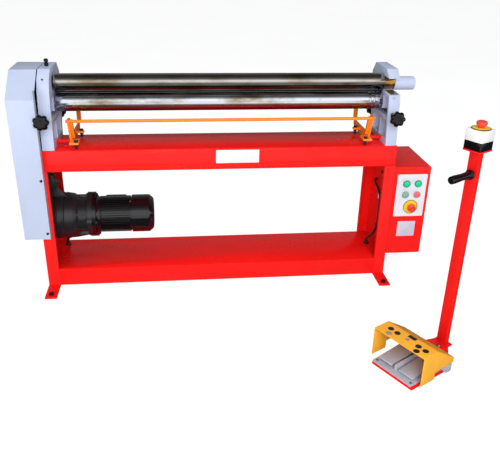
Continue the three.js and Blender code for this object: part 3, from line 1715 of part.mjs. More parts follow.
machine.add(station);
add('pedal_base_plate', stationPlate(), 'red', station);
add('pedal_post', stationPost(), 'red', station);
add('pedal_body', pedalBody(), 'pedal_grey', station);
add('pedal_guard', pedalGuard(), 'yellow', station);
add('left_pedal', footPedal(-1), 'pedal_grey', station);
add('right_pedal', footPedal(1), 'pedal_grey', station);
add('post_grip', postGrip(), 'black', station);
add('stop_box_base', stopBoxPart(stop_box_z, stop_box_z + stop_box_base_height), 'black', station);
add('stop_box_lid', stopBoxLid(), 'white', station);
add('post_stop_ring', postRing(), 'yellow', station);
add('post_stop_button', postStopButton(), 'button_red', station);

// The origin is on the floor, in the middle of the space that the whole machine takes up.
machine.updateMatrixWorld(true);
const space = new THREE.Box3().setFromObject(machine, true);
const middle = space.getCenter(new THREE.Vector3());
machine.position.set(-middle.x, -middle.y, -space.min.z);
machine.updateMatrixWorld(true);

export default machine;
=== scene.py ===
"""Looks of a motorised slip roll machine, built piece by piece around its CAD frame.

Every piece is drawn in machine millimetres: X = 0 midway between the side stands,
Y = 0 on the bench's front plane, Z = 0 on the floor. place() turns them into frame metres.
"""
import json
import math

import bmesh
import bpy
from bpy.props import FloatProperty, FloatVectorProperty, IntProperty, PointerProperty
from mathutils import Matrix, Vector


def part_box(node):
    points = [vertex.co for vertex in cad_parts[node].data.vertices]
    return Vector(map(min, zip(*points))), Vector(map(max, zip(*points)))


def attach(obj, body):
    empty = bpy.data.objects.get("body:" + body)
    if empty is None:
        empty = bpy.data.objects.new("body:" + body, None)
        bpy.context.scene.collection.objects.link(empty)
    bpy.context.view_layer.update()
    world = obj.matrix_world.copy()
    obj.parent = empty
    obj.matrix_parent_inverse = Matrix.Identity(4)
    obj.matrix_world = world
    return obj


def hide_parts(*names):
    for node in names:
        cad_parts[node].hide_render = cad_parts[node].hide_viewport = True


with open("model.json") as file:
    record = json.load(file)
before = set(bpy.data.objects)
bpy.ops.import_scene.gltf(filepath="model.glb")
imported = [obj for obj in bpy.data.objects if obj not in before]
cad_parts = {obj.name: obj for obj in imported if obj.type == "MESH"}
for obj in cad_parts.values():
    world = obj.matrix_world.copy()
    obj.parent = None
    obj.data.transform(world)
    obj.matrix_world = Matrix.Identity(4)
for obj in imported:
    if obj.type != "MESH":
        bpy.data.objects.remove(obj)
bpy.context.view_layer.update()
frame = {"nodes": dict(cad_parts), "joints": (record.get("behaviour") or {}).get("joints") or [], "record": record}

bl_info = {
    "name": "Slip roll looks",
    "version": (1, 0, 0),
    "blender": (4, 5, 0),
    "location": "View3D > Sidebar > Slip roll",
    "description": "Builds the visible pieces, materials, light and camera of a slip roll machine",
    "category": "Object",
}

MM = 0.001
TAU = 2 * math.pi
AXES = {"X": (1, 2, 0), "Y": (2, 0, 1), "Z": (0, 1, 2)}
BEVEL_ANGLE = math.radians(32.0)
SHARP_ANGLE = math.radians(34.0)
RING_GROUP = "Copies round an axis"
BORE_PLAY = 0.3
HEAD_SEGMENTS = 24

# Camera, in machine millimetres and degrees
CAMERA_PLACE = (-173.66, -2351.12, 1367.12)
CAMERA_YAW = 6.82
CAMERA_PITCH = 25.07
CAMERA_ROLL = 1.28
CAMERA_FOCUS = 623.0
PHOTO_WIDTH = 500.0
SENSOR_WIDTH = 36.0

# Rolls and bearings
ROLL_RADIUS = 36.0
JOURNAL_RADIUS = 18.0
JOURNAL_REACH = 45.3
ROLL_CHAMFER = 1.5
GROOVE_RADII = (3.0, 4.0, 5.0)
GROOVE_PITCH = 18.0
GROOVE_STEPS = 10
DOG_LENGTH = 15.0
DOG_HALF = 11.0
GEAR_SEAT_RADIUS = 14.0
BALL_STEPS = 14
# Back edge of the dark film on the slot lip: part oil, part painted shade under the roll
OIL_AND_SHADE_FILM_BACK = 92.0

# Stands and sheet metal
STAND_SCREWS = (("left", (-673.0, 22.6, 864.5), "black_oxide"),
                ("right", (673.5, 13.0, 789.5), "casting_paint"))
STAND_SCREW_RADIUS = 3.6
COVER_SCREW_X = -711.0
COVER_SCREW_HEIGHTS = (486.0, 261.0)
COVER_SCREW_RADIUS = 5.5
BEAD_RISE = 14.0
NAME_PLATE = (536, 590, -34, 138)
BOX_PLATE = (187, 257, 748, 826)
OIL_CAP_SHAPE = ((0, 0.0), (0, 0.7), (0.12, 1.0), (0.36, 1.0), (0.5, 0.62), (0.64, 1.0),
                 (0.88, 1.0), (1.0, 0.62), (1.0, 0.0))

# Knobs
KNOB_LOBES = 7
STEPS_PER_LOBE = 12
KNOB_LOBE_DEPTH = 0.17
KNOB_THICKNESS = 22.0
KNOB_ROWS = ((0.0, 0.80), (0.06, 0.93), (0.2, 1.0), (0.5, 1.0), (0.74, 0.95), (0.9, 0.83),
             (0.98, 0.66), (1.0, 0.5))
KNOB_CAP_SHARE = 0.36
CAM_LENGTH = 56.3
CAM_RADIUS = 6.5
SPINDLE_RADIUS = 8.0
REAR_SCREW_START = 28.8
REAR_SCREW_RADIUS = 9.0

# Chain
CHAIN_PITCH = 12.7
CHAIN_LINKS = 108
ROLLER_RADIUS = 4.25
PIN_RADIUS = 2.2
LINK_HALF_HEIGHT = 5.6
PLATE_HALF_THICKNESS = 0.55
UPPER_TEETH = 24
DRIVE_TEETH = 14

# Gearmotor
FIN_COUNT = 44
FLANGE_STEPS = 18
CASE_LENGTH = 118.0
TERMINAL_START = 40.5
TERMINAL_LENGTH = 90.0
TERMINAL_HALF = 42.0
EARTH_SCREW_ANGLE = math.radians(64)
GRILLE_SHARES = (0.3, 0.52, 0.74, 0.96)
COWL_SCREW_ANGLES = (35, 145, 270)
REAR_WEB_SHARE = 0.45
MOUNT_THICKNESS = 10.0

# Trip frame
STOP_BOLT_PLACES = [(x, y) for x in (-573.0, 573.0) for y in (15.0, 175.0)]
STOP_NUT_HEIGHTS = ((625.1, 632.0), (610.5, 616.9))
STOP_NUT_RADIUS = 8.2
POST_PLATES = ((-601.0, -583.0), (585.0, 604.0))

# Controls and the cable from the motor to the control box
BUTTONS = (("power_lamp", "green_plastic"), ("start_button", "green_plastic"),
           ("jog_button", "grey_green_plastic"), ("off_button", "pink_plastic"))
BOX_BOLT = (708.0, 152.0, 428.0)
CABLE_RADIUS = 5.0
CABLE_SEGMENTS = 16
CABLE_STEPS = 6
CABLE_CLIP = ((693.5, 117.0, 182.0), (707.9, 129.0, 192.0))
CABLE_PAD = ((706.4, 120.0, 299.0), (707.9, 172.0, 321.0))
CABLE_ROUTE = (
    (-484.1, 231, 224.2), (-484.1, 231, 212), (-498, 231, 180), (-544, 231, 142),
    (-640, 231, 122), (-676, 231, 117), (-688, 231, 104), (-688, 231, 94), (-688, 231, 72),
    (-688, 231, 62), (-676, 231, 47), (-640, 231, 42), (0, 190, 40), (620, 152, 42),
    (656, 152, 47), (669, 152, 62), (669, 152, 72), (669, 152, 94), (669, 152, 104),
    (690, 150, 125), (700, 135, 160), (700, 121, 195), (700, 119, 255), (700, 123, 320),
    (698, 147, 346), (696, 180, 361), (696, 203, 370), (701, 213.5, 371.8), (706, 215, 372),
    (714, 215, 372), (735, 215, 372),
)

# Pedal station, with the places of its marks and screws in its own frame
STATION_TURN = -60.0
STATION_MIDDLE = 107.0
STATION_PARTS = (
    ("pedal_base_plate", "red_paint", 0.9, 2), ("pedal_post", "red_paint", 1.2, 3),
    ("pedal_body", "pedal_grey", 1.5, 3), ("pedal_guard", "guard_yellow", 1.6, 3),
    ("left_pedal", "pedal_grey", 1.2, 3), ("right_pedal", "pedal_grey", 1.2, 3),
    ("stop_box_base", "black_plastic", 1.2, 3), ("stop_box_lid", "box_grey", 1.6, 3),
    ("post_grip", "black_plastic", 0.6, 2),
)
DARK_DOTS = ((-72, 65, 11), (-41, 63, 11), (52, 62, 11), (65, 36, 11), (83, 61, 11))
PALE_DOTS = ((-58, 38, 11), (4, 62, 8))
DARK_BAR = ((-8, 76), (24, 92))
STATION_SCREWS = ((-74, 15, 14), (78, 15, 14))
STATION_BOLT = (-13, 273, 6)

# Studio: what mirrored rays see, by the angle from the front horizon over the top to the back
AMBIENT = 0.30
MIRROR_STRENGTH = 1.3
MIRROR_BANDS = ((0, 0.75), (12, 1.0), (34, 1.0), (44, 0.4), (58, 0.12), (76, 0.04), (120, 0.04),
                (136, 0.14), (180, 0.16))
FLOOR_REACH = 30.0
FLOOR_FAR = -1.8
FLOOR_NEAR = -1.0
LIGHT_AIM = Vector((0.0, 0.1, 0.5))


def machine_origin():
    """Where the machine's own zero lies in the frame."""
    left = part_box("left_side_stand")[1]
    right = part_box("right_side_stand")[0]
    return Vector(((left.x + right.x) / 2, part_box("bench_channel")[0].y, 0.0))


ORIGIN = machine_origin()
STAND_INNER = (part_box("right_side_stand")[0].x - ORIGIN.x) / MM
ROLL_LEFT = -STAND_INNER + 6.5
ROLL_RIGHT = STAND_INNER - 1.5


def style():
    """The values that set the machine's look."""
    return bpy.context.scene.slip_roll_look


def span(node):
    """Lowest and highest corners of a CAD node, in machine millimetres."""
    low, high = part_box(node)
    return (low - ORIGIN) / MM, (high - ORIGIN) / MM


def sized(node, across="z"):
    """A CAD node's lowest and highest corners, its middle and its half width along one axis."""
    low, high = span(node)
    return low, high, (low + high) / 2, (getattr(high, across) - getattr(low, across)) / 2


def place(point):
    """A point in machine millimetres, as a place in the frame in metres."""
    return Vector(point) * MM + ORIGIN


def machine_points(node):
    """The vertices of a CAD node, in machine millimetres."""
    return [(Vector(v.co) - ORIGIN) / MM for v in frame["nodes"][node].data.vertices]


def joint_of(name):
    return next(joint for joint in frame["joints"] if joint["name"] == name)


def joint_place(name):
    """Where a joint sits, in machine millimetres."""
    return (Vector(joint_of(name)["pos_m"]) - ORIGIN) / MM


def reach_from(node, foot, axis):
    """Farthest distance of a CAD node from an axis through foot, in machine millimetres."""
    places = [spot - foot for spot in machine_points(node)]
    return max((spot - axis * (spot @ axis)).length for spot in places)


def station_matrix():
    """The pedal station's own frame: u across, v back to the post, turned to face the operator."""
    turn = Matrix.Rotation(math.radians(STATION_TURN), 4, "Z")
    centre = sized("pedal_guard")[2]
    local = turn @ Vector((0.0, STATION_MIDDLE, 0.0))
    return Matrix.Translation((centre.x - local.x, centre.y - local.y, 0.0)) @ turn


STATION = station_matrix()


# Outlines

def filleted(points, closed=False, steps=4):
    """A 2-D line whose corners are rounded by each point's third number, if it has one."""
    line = []
    count = len(points)
    for index, point in enumerate(points):
        size = point[2] if len(point) > 2 else 0.0
        if not size or (not closed and index in (0, count - 1)):
            line.append((point[0], point[1]))
            continue
        corner = Vector(point[:2])
        before = Vector(points[index - 1][:2]) - corner
        after = Vector(points[(index + 1) % count][:2]) - corner
        half = before.angle(after) / 2
        reach = min(size / math.tan(half), before.length * 0.49, after.length * 0.49)
        radius = reach * math.tan(half)
        middle = (before.normalized() + after.normalized()).normalized()
        centre = corner + middle * radius / math.sin(half)
        start = corner + before.normalized() * reach - centre
        end = corner + after.normalized() * reach - centre
        first = math.atan2(start.y, start.x)
        sweep = (math.atan2(end.y, end.x) - first + math.pi) % TAU - math.pi
        line += [(centre.x + radius * math.cos(first + sweep * step / steps),
                  centre.y + radius * math.sin(first + sweep * step / steps))
                 for step in range(steps + 1)]
    return line


def circle(radius, count):
    return [(radius * math.cos(TAU * i / count), radius * math.sin(TAU * i / count))
            for i in range(count)]


def rectangle(u0, u1, v0, v1, radius):
    return [(u0, v0, radius), (u1, v0, radius), (u1, v1, radius), (u0, v1, radius)]


def smooth_line(points):
    """A curve through the points, as a list of closer points."""
    line = []
    padded = [points[0], *points, points[-1]]
    for i in range(1, len(padded) - 2):
        p0, p1, p2, p3 = (Vector(p) for p in padded[i - 1:i + 3])
        reach = min((p2 - p1).length, 60.0)
        t1 = (p2 - p0).normalized() * reach
        t2 = (p3 - p1).normalized() * reach
        for step in range(CABLE_STEPS):
            t = step / CABLE_STEPS
            line.append(p1 * (2 * t ** 3 - 3 * t ** 2 + 1) + t1 * (t ** 3 - 2 * t ** 2 + t)
                        + p2 * (3 * t ** 2 - 2 * t ** 3) + t2 * (t ** 3 - t ** 2))
    return [*line, Vector(points[-1])]


# Solids

def on_axis(axis, u, v, along):
    point = [0.0, 0.0, 0.0]
    for index, value in zip(AXES[axis], (u, v, along)):
        point[index] = value
    return Vector(point)


def bridge(bm, first, second):
    """Faces between two rings of vertices; a ring of one vertex is a pole."""
    for i in range(max(len(first), len(second))):
        corners = [first[i % len(first)], first[(i + 1) % len(first)],
                   second[(i + 1) % len(second)], second[i % len(second)]]
        face = list(dict.fromkeys(corners))
        if len(face) > 2:
            bm.faces.new(face)


def lathe(bm, profile, axis="Z", centre=(0.0, 0.0, 0.0), segments=None, matrix=None):
    """Turns [(along, radius, fillet), ...] round an axis; off the axis it closes on itself."""
    move = (matrix or Matrix.Identity(4)) @ Matrix.Translation(centre)
    profile = filleted(profile)
    rings = []
    for along, radius in profile:
        ring = circle(radius, segments or style().segments) if radius > 0 else [(0, 0)]
        rings.append([bm.verts.new(move @ on_axis(axis, u, v, along)) for u, v in ring])
    if profile[0] == profile[-1]:
        for vert in rings.pop():
            bm.verts.remove(vert)
        rings.append(rings[0])
    for first, second in zip(rings, rings[1:]):
        bridge(bm, first, second)


def prism(bm, outline, axis, start, end, matrix=None):
    """Extrudes a closed outline along an axis, with its corners rounded by their third number."""
    move = matrix or Matrix.Identity(4)
    outline = filleted(outline, True)
    ends = [[bm.verts.new(move @ on_axis(axis, u, v, along)) for u, v in outline]
            for along in (start, end)]
    bm.faces.new(list(reversed(ends[0])))
    bm.faces.new(ends[1])
    bridge(bm, *ends)


def block(bm, low, high, matrix=None):
    prism(bm, rectangle(low[0], high[0], low[1], high[1], 0), "Z", low[2], high[2], matrix)


def tube(bm, line, radius, segments):
    """A round tube along a line, with closed ends."""
    steep = abs((line[1] - line[0]).normalized().z) >= 0.9
    up = Vector((1.0, 0.0, 0.0)) if steep else Vector((0.0, 0.0, 1.0))
    rings = []
    for i, point in enumerate(line):
        ahead = (line[min(i + 1, len(line) - 1)] - line[max(i - 1, 0)]).normalized()
        side = ahead.cross(up).normalized()
        up = side.cross(ahead).normalized()
        rings.append([bm.verts.new(point + side * u + up * v) for u, v in circle(radius, segments)])
    for first, second in zip(rings, rings[1:]):
        bridge(bm, first, second)
    bm.faces.new(list(reversed(rings[0])))
    bm.faces.new(rings[-1])


def facing(centre, direction):
    """The frame of a thing at centre whose own +Z looks along direction."""
    turn = Vector((0, 0, 1)).rotation_difference(Vector(direction)).to_matrix().to_4x4()
    return Matrix.Translation(centre) @ turn


def along_x(axis, x=0.0):
    """The frame of a thing on a lengthwise axis whose own +Z looks along the machine's X."""
    return Matrix.Translation((x, axis.y, axis.z)) @ Matrix.Rotation(math.pi / 2, 4, "Y")


def hex_bolt(bm, centre, direction, radius, height, washer=1.25):
    """A hexagon head on its washer, facing along direction."""
    matrix = facing(centre, direction)
    rim, top = radius * washer, height + 0.5
    lathe(bm, [(0, 0), (0, rim), (1.4, rim, 0.4), (1.4, 0)], segments=HEAD_SEGMENTS, matrix=matrix)
    prism(bm, circle(radius, 6), "Z", 1.0, height, matrix)
    lathe(bm, [(height - 1, 0), (height - 1, radius * 0.84), (top, radius * 0.8, 0.8), (top, 0)],
          segments=HEAD_SEGMENTS, matrix=matrix)


def dome_screw(bm, centre, direction, radius):
    """A domed screw head with a round socket."""
    dome, floor = radius * 0.62, radius * 0.3
    lathe(bm, [(-0.5, 0), (-0.5, radius), (radius * 0.25, radius, 0.4), (dome, radius * 0.5, 2),
               (dome, radius * 0.4), (floor, radius * 0.36), (floor, 0)],
          segments=HEAD_SEGMENTS, matrix=facing(centre, direction))


# Objects from solids

def new_object(name, data):
    thing = bpy.data.objects.new(name, data)
    bpy.context.scene.collection.objects.link(thing)
    return thing


def baked(thing):
    """The object with its modifiers applied to its mesh and taken off."""
    graph = bpy.context.evaluated_depsgraph_get()
    graph.update()
    mesh = bpy.data.meshes.new_from_object(thing.evaluated_get(graph))
    old = thing.data
    thing.modifiers.clear()
    thing.data = mesh
    bpy.data.meshes.remove(old)
    return thing


def rounded(thing, width, segments=2):
    bevel = thing.modifiers.new("Rounding", "BEVEL")
    bevel.width = width * MM
    bevel.segments = segments
    bevel.limit_method = "ANGLE"
    bevel.angle_limit = BEVEL_ANGLE
    bevel.harden_normals = False
    return baked(thing)


def smoothed(thing):
    thing.data.shade_smooth()
    thing.data.set_sharp_from_angle(angle=SHARP_ANGLE)
    return thing


def dressed(thing, finish, body, nodes):
    """Gives a piece its material and body, and hides the CAD nodes that it stands in for."""
    thing.data.materials.clear()
    thing.data.materials.append(MATERIALS[finish])
    smoothed(thing)
    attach(thing, body)
    if nodes:
        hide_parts(*nodes)
    return thing


def piece(name, bm, slot, finish=None, body="root", nodes=(), bevel=0.0):
    """Turns a mesh drawn in machine millimetres into a finished piece; finish is the slot's own
    material unless it is given."""
    bmesh.ops.recalc_face_normals(bm, faces=bm.faces)
    mesh = bpy.data.meshes.new(name)
    bm.to_mesh(mesh)
    bm.free()
    mesh.transform(Matrix.Translation(ORIGIN) @ Matrix.Scale(MM, 4))
    thing = new_object(name, mesh)
    if bevel:
        rounded(thing, bevel)
    return dressed(thing, finish or slot, body, nodes)


def body_of_node(node):
    for body, members in frame["record"]["behaviour"]["bodies"].items():
        if node in members:
            return body
    return "root"


def remade(node, way, bm, slot, finish=None, bevel=0.0):
    """A drawn piece in the place of one CAD node, on that node's body."""
    return piece(f"{node}_{way}", bm, slot, finish, body_of_node(node), (node,), bevel)


def refined(node, slot, bevel, segments=2, finish=None, reshape=None):
    """A copy of a CAD node with its flat faces merged and its edges rounded, in its place."""
    mesh = frame["nodes"][node].data.copy()
    bm = bmesh.new()
    bm.from_mesh(mesh)
    if reshape:
        for vert in bm.verts:
            vert.co = place(reshape((vert.co - ORIGIN) / MM))
    bmesh.ops.remove_doubles(bm, verts=bm.verts, dist=0.02 * MM)
    bmesh.ops.dissolve_limit(bm, angle_limit=math.radians(0.5), verts=bm.verts, edges=bm.edges)
    bmesh.ops.recalc_face_normals(bm, faces=bm.faces)
    bm.to_mesh(mesh)
    bm.free()
    thing = new_object(f"{node}_finished", mesh)
    rounded(thing, bevel, segments)
    return dressed(thing, finish or slot, body_of_node(node), (node,))


# Geometry node group for rings of copies

def make_ring_group():
    """Copies the geometry round an axis, and ends in Realize Instances and Set Material."""
    group = bpy.data.node_groups.new(RING_GROUP, "GeometryNodeTree")
    for name, kind in (("Geometry", "Geometry"), ("Count", "Int"), ("Step", "Vector"),
                       ("Material", "Material")):
        group.interface.new_socket(name, in_out="INPUT", socket_type=f"NodeSocket{kind}")
    group.interface.new_socket("Geometry", in_out="OUTPUT", socket_type="NodeSocketGeometry")
    source, points, index, scale, copy, realize, coat, result = (
        group.nodes.new(kind) for kind in (
            "NodeGroupInput", "GeometryNodePoints", "GeometryNodeInputIndex",
            "ShaderNodeVectorMath", "GeometryNodeInstanceOnPoints",
            "GeometryNodeRealizeInstances", "GeometryNodeSetMaterial", "NodeGroupOutput"))
    scale.operation = "SCALE"
    for outlet, inlet in (
            (source.outputs["Count"], points.inputs["Count"]),
            (source.outputs["Step"], scale.inputs[0]),
            (index.outputs[0], scale.inputs["Scale"]),
            (points.outputs[0], copy.inputs["Points"]),
            (source.outputs["Geometry"], copy.inputs["Instance"]),
            (scale.outputs[0], copy.inputs["Rotation"]),
            (copy.outputs[0], realize.inputs[0]),
            (realize.outputs[0], coat.inputs["Geometry"]),
            (source.outputs["Material"], coat.inputs["Material"]),
            (coat.outputs[0], result.inputs[0])):
        group.links.new(outlet, inlet)


def add_ring(bm, seed, count, slot, matrix):
    """Adds count copies of the seed round the matrix's own Z axis, made by the node group."""
    bmesh.ops.recalc_face_normals(seed, faces=seed.faces)
    mesh = bpy.data.meshes.new("Seed")
    seed.to_mesh(mesh)
    seed.free()
    thing = new_object("Seed", mesh)
    modifier = thing.modifiers.new("Copies", "NODES")
    modifier.node_group = bpy.data.node_groups[RING_GROUP]
    values = {"Count": count, "Step": (0, 0, TAU / count), "Material": MATERIALS[slot]}
    for item in modifier.node_group.interface.items_tree:
        if item.name in values:
            modifier[item.identifier] = values[item.name]
    copies = baked(thing).data
    start = len(bm.verts)
    bm.from_mesh(copies)
    bm.verts.ensure_lookup_table()
    bmesh.ops.transform(bm, matrix=matrix, verts=bm.verts[start:])
    bpy.data.objects.remove(thing)
    bpy.data.meshes.remove(copies)


# Materials

class Tree:
    """Short calls for building one tree of shader nodes."""

    def __init__(self, owner, coords="Object"):
        owner.use_nodes = True
        self.owner = owner
        self.tree = owner.node_tree
        self.coords = self.tree.nodes.new("ShaderNodeTexCoord").outputs[coords]

    def found(self, kind):
        return next(n for n in self.tree.nodes if n.type == kind)

    def feed(self, socket, value):
        if isinstance(value, bpy.types.NodeSocket):
            self.tree.links.new(value, socket)
        else:
            socket.default_value = value

    def node(self, kind, inputs=(), **settings):
        made = self.tree.nodes.new(kind)
        for key, value in settings.items():
            setattr(made, key, value)
        for key, value in dict(inputs).items():
            self.feed(made.inputs[key], value)
        return made

    def calc(self, operation, *values):
        return self.node("ShaderNodeMath", enumerate(values), operation=operation).outputs[0]

    def part(self, vector, axis):
        return self.node("ShaderNodeSeparateXYZ", {0: vector}).outputs[axis]

    def ramp(self, value, stops):
        made = self.node("ShaderNodeValToRGB", {"Fac": value})
        elements = made.color_ramp.elements
        while len(elements) < len(stops):
            elements.new(0.5)
        for element, (position, level) in zip(elements, stops):
            element.position = position
            element.color = (level, level, level, 1.0)
        return made.outputs["Color"]


class Shader(Tree):
    """Short calls for building one material."""

    def __init__(self, name):
        super().__init__(bpy.data.materials.new(name))
        self.base = self.found("BSDF_PRINCIPLED")

    def noise(self, scale, detail, roughness=0.5, stretch=(1.0, 1.0, 1.0)):
        mapping = self.node("ShaderNodeMapping", {"Vector": self.coords, "Scale": stretch})
        return self.node("ShaderNodeTexNoise", {
            "Vector": mapping.outputs[0], "Scale": scale, "Detail": detail,
            "Roughness": roughness}).outputs["Fac"]

    def grey(self, value, low, high, dark, light):
        return self.ramp(value, [(low, dark), (high, light)])

    def mix(self, share, first, second):
        made = self.node("ShaderNodeMix", data_type="RGBA")
        for index, value in ((0, share), (6, first), (7, second)):
            self.feed(made.inputs[index], value)
        return made.outputs[2]

    def bump(self, height, strength, distance, normal=None):
        made = self.node("ShaderNodeBump", {"Height": height, "Strength": strength,
                                            "Distance": distance})
        if normal:
            self.feed(made.inputs["Normal"], normal)
        return made.outputs[0]

    def clouds(self, colour, scale, detail, darkest):
        """The colour in slightly darker and lighter clouds."""
        share = self.grey(self.noise(scale, detail), 0.3, 0.7, 0.0, 1.0)
        return self.mix(share, shade(colour, darkest), shade(colour, 1.05))

    def edges(self, radius):
        """A mask that is light along convex edges."""
        bevel = self.node("ShaderNodeBevel", {"Radius": radius}, samples=4)
        flat = self.node("ShaderNodeNewGeometry")
        dot = self.node("ShaderNodeVectorMath", {0: bevel.outputs[0], 1: flat.outputs["Normal"]},
                        operation="DOT_PRODUCT")
        return self.grey(dot.outputs["Value"], 0.86, 0.97, 1.0, 0.0)

    def set(self, **inputs):
        for key, value in inputs.items():
            self.feed(self.base.inputs[key.replace("_", " ")], value)
        return self.owner


def shade(colour, factor):
    return tuple(min(1.0, c * factor) for c in colour[:3]) + (1.0,)


def whitened(colour, grey):
    return shade([grey + (1 - grey) * c for c in colour], 1.0)


def paint(name, colour, roughness, peel, lumps=0.0, coat=0.1, edge_wear_and_highlight=0.12, specular=0.5):
    """Sprayed enamel: slight orange peel, cloudy tone, and paler edges that are partly wear and partly a painted
    highlight.
    """
    shader = Shader(name)
    # Paler edges: part edge wear, part a painted highlight along convex edges.
    worn_and_highlit_edges = shader.calc("MULTIPLY", shader.calc("MULTIPLY", shader.edges(1.6 * MM),
                                               shader.noise(60.0, 2.0)), edge_wear_and_highlight)
    tone = shader.mix(worn_and_highlit_edges, shader.clouds(colour, 4.0, 4.0, 0.93), whitened(colour, 0.35))
    normal = shader.bump(shader.noise(420.0, 2.0), peel, 0.3 * MM)
    if lumps:
        normal = shader.bump(shader.noise(85.0, 5.0, 0.6), lumps, 0.9 * MM, normal)
    gloss = shader.grey(shader.noise(9.0, 5.0), 0.3, 0.75, roughness * 0.85, roughness * 1.2)
    return shader.set(Base_Color=tone, Roughness=gloss, Normal=normal,
                      Specular_IOR_Level=specular, Coat_Weight=coat, Coat_Roughness=0.12)


def ground_steel(name, bright, under, level):
    """Ground and oiled roll: fine rings and brown patches of old oil, with painted shade that darkens the faces
    turned lower than level.
    """
    shader = Shader(name)
    rings = shader.noise(1.0, 2.0, 0.6, (1400.0, 6.0, 6.0))
    patches = shader.grey(shader.noise(1.0, 5.0, 0.6, (5.0, 14.0, 14.0)), 0.46, 0.66, 0.0, 1.0)
    metal = shader.mix(rings, shade(bright, 0.85), (*bright, 1))
    oiled = shader.mix(patches, metal, (0.30, 0.24, 0.16, 1))
    # Painted shade: faces whose normal points lower than level are darkened to under times their colour, standing
    # in for dark reflections.
    facing_up = shader.part(shader.node("ShaderNodeNewGeometry").outputs["Normal"], "Z")
    shadow = shader.grey(shader.calc("SUBTRACT", facing_up, level), 0.0, 0.2, 1.0, 0.0)
    toned = shader.mix(shadow, oiled, shader.mix(under, (0, 0, 0, 1), oiled))
    rough = shader.grey(shader.noise(1.0, 3.0, 0.5, (60.0, 9.0, 9.0)), 0.3, 0.8, 0.08, 0.18)
    return shader.set(Base_Color=toned, Metallic=1.0, Roughness=rough,
                      Normal=shader.bump(rings, 0.04, 0.05 * MM), Anisotropic=0.2)


def machined(name, colour, roughness, smudge, metallic=1.0):
    """Machined metal with turning marks and oily smudges."""
    shader = Shader(name)
    smudges = shader.grey(shader.noise(45.0, 5.0, 0.6), 0.35, 0.75, 0.0, smudge)
    tone = shader.mix(smudges, (*colour, 1), shade(colour, 0.45))
    rough = shader.grey(shader.noise(120.0, 3.0), 0.3, 0.7, roughness * 0.7, roughness * 1.3)
    return shader.set(Base_Color=tone, Metallic=metallic, Roughness=rough,
                      Normal=shader.bump(shader.noise(900.0, 2.0), 0.1, 0.1 * MM))


def plastic(name, colour, roughness, grain, coat=0.0, glow=0.0, specular=0.5):
    """Moulded plastic with a fine grain and paler edges, partly rubbed and partly a painted highlight."""
    shader = Shader(name)
    # Paler edges: part rubbing, part a painted highlight along convex edges.
    worn_and_highlit_edges = shader.calc("MULTIPLY", shader.edges(0.9 * MM), 0.12)
    tone = shader.mix(worn_and_highlit_edges, shader.clouds(colour, 14.0, 3.0, 0.94), whitened(colour, 0.25))
    rough = shader.grey(shader.noise(30.0, 4.0), 0.3, 0.7, roughness * 0.85, roughness * 1.15)
    # glow is a faint painted light, an emission that brightens the lens colour.
    if glow:
        shader.set(Emission_Color=(*colour, 1), Emission_Strength=glow)
    return shader.set(Base_Color=tone, Roughness=rough, Specular_IOR_Level=specular,
                      Coat_Weight=coat, Coat_Roughness=0.08,
                      Normal=shader.bump(shader.noise(1500.0, 2.0), grain, 0.08 * MM))


MATERIALS = {}
PAINTS = {
    "black_paint": ("Black enamel", (0.012, 0.012, 0.014), 0.3, 0.2, 0.18, 0.1, 0.02),
    "motor_paint": ("Glossy black enamel", (0.004, 0.004, 0.005), 0.1, 0.05, 0.0, 0.3, 0.01),
    "orange_paint": ("Orange enamel", (0.95, 0.23, 0.012), 0.34, 0.14),
    "panel_white": ("White panel", (0.74, 0.76, 0.80), 0.45, 0.06, 0.0, 0.1, 0.1),
    "pale_plate": ("Pale lilac plate", (0.58, 0.54, 0.64), 0.4, 0.05, 0.0, 0.1, 0.05),
}
METALS = {
    "dark_steel": ("Oiled machined steel", (0.20, 0.19, 0.175), 0.4, 0.7),
    "zinc": ("Zinc-plated fasteners", (0.62, 0.61, 0.58), 0.3, 0.35),
    "bronze": ("Bearing bronze", (0.58, 0.30, 0.08), 0.25, 0.8),
    "black_oxide": ("Black oxide bolts", (0.04, 0.04, 0.042), 0.45, 0.3, 0.8),
}
PLASTICS = {
    "black_plastic": ("Glossy black plastic", (0.003, 0.003, 0.004), 0.16, 0.03, 0.12, 0.0, 0.3),
    # The lenses' last number is a faint painted glow that brightens them.
    "green_plastic": ("Green lens", (0.0, 0.60, 0.26), 0.18, 0.03, 0.3, 0.10),
    "grey_green_plastic": ("Pale green lens", (0.20, 0.42, 0.35), 0.2, 0.03, 0.5, 0.05),
    "pink_plastic": ("Pale red lens", (0.74, 0.13, 0.17), 0.18, 0.03, 0.6, 0.08),
    "red_plastic": ("Red mushroom plastic", (0.80, 0.045, 0.025), 0.25, 0.05, 0.4),
    "yellow_plastic": ("Yellow ring plastic", (0.90, 0.60, 0.01), 0.4, 0.1),
    "guard_yellow": ("Moulded yellow guard", (0.93, 0.43, 0.03), 0.4, 0.25),
    "pedal_grey": ("Moulded grey pedals", (0.40, 0.41, 0.48), 0.5, 0.4),
    "dot_black": ("Matt black marks", (0.014, 0.013, 0.012), 0.5, 0.1),
    # Dark brown for the slot lip: oil and painted shade together.
    "grime": ("Oily grime", (0.085, 0.035, 0.014), 0.25, 0.2),
    "dot_grey": ("Grey marks", (0.30, 0.28, 0.24), 0.45, 0.1),
    "green_plastic_rim": ("Dark green rims", (0.01, 0.12, 0.07), 0.3, 0.05, 0.3),
    "grey_green_plastic_rim": ("Grey-green rim", (0.22, 0.32, 0.29), 0.3, 0.05, 0.3),
    "pink_plastic_rim": ("Grey-pink rim", (0.42, 0.27, 0.29), 0.3, 0.05, 0.3),
    "box_grey": ("Moulded pale grey box", (0.80, 0.80, 0.80), 0.45, 0.2),
    "cable_rubber": ("Rubber cable sheath", (0.012, 0.012, 0.012), 0.55, 0.3),
}


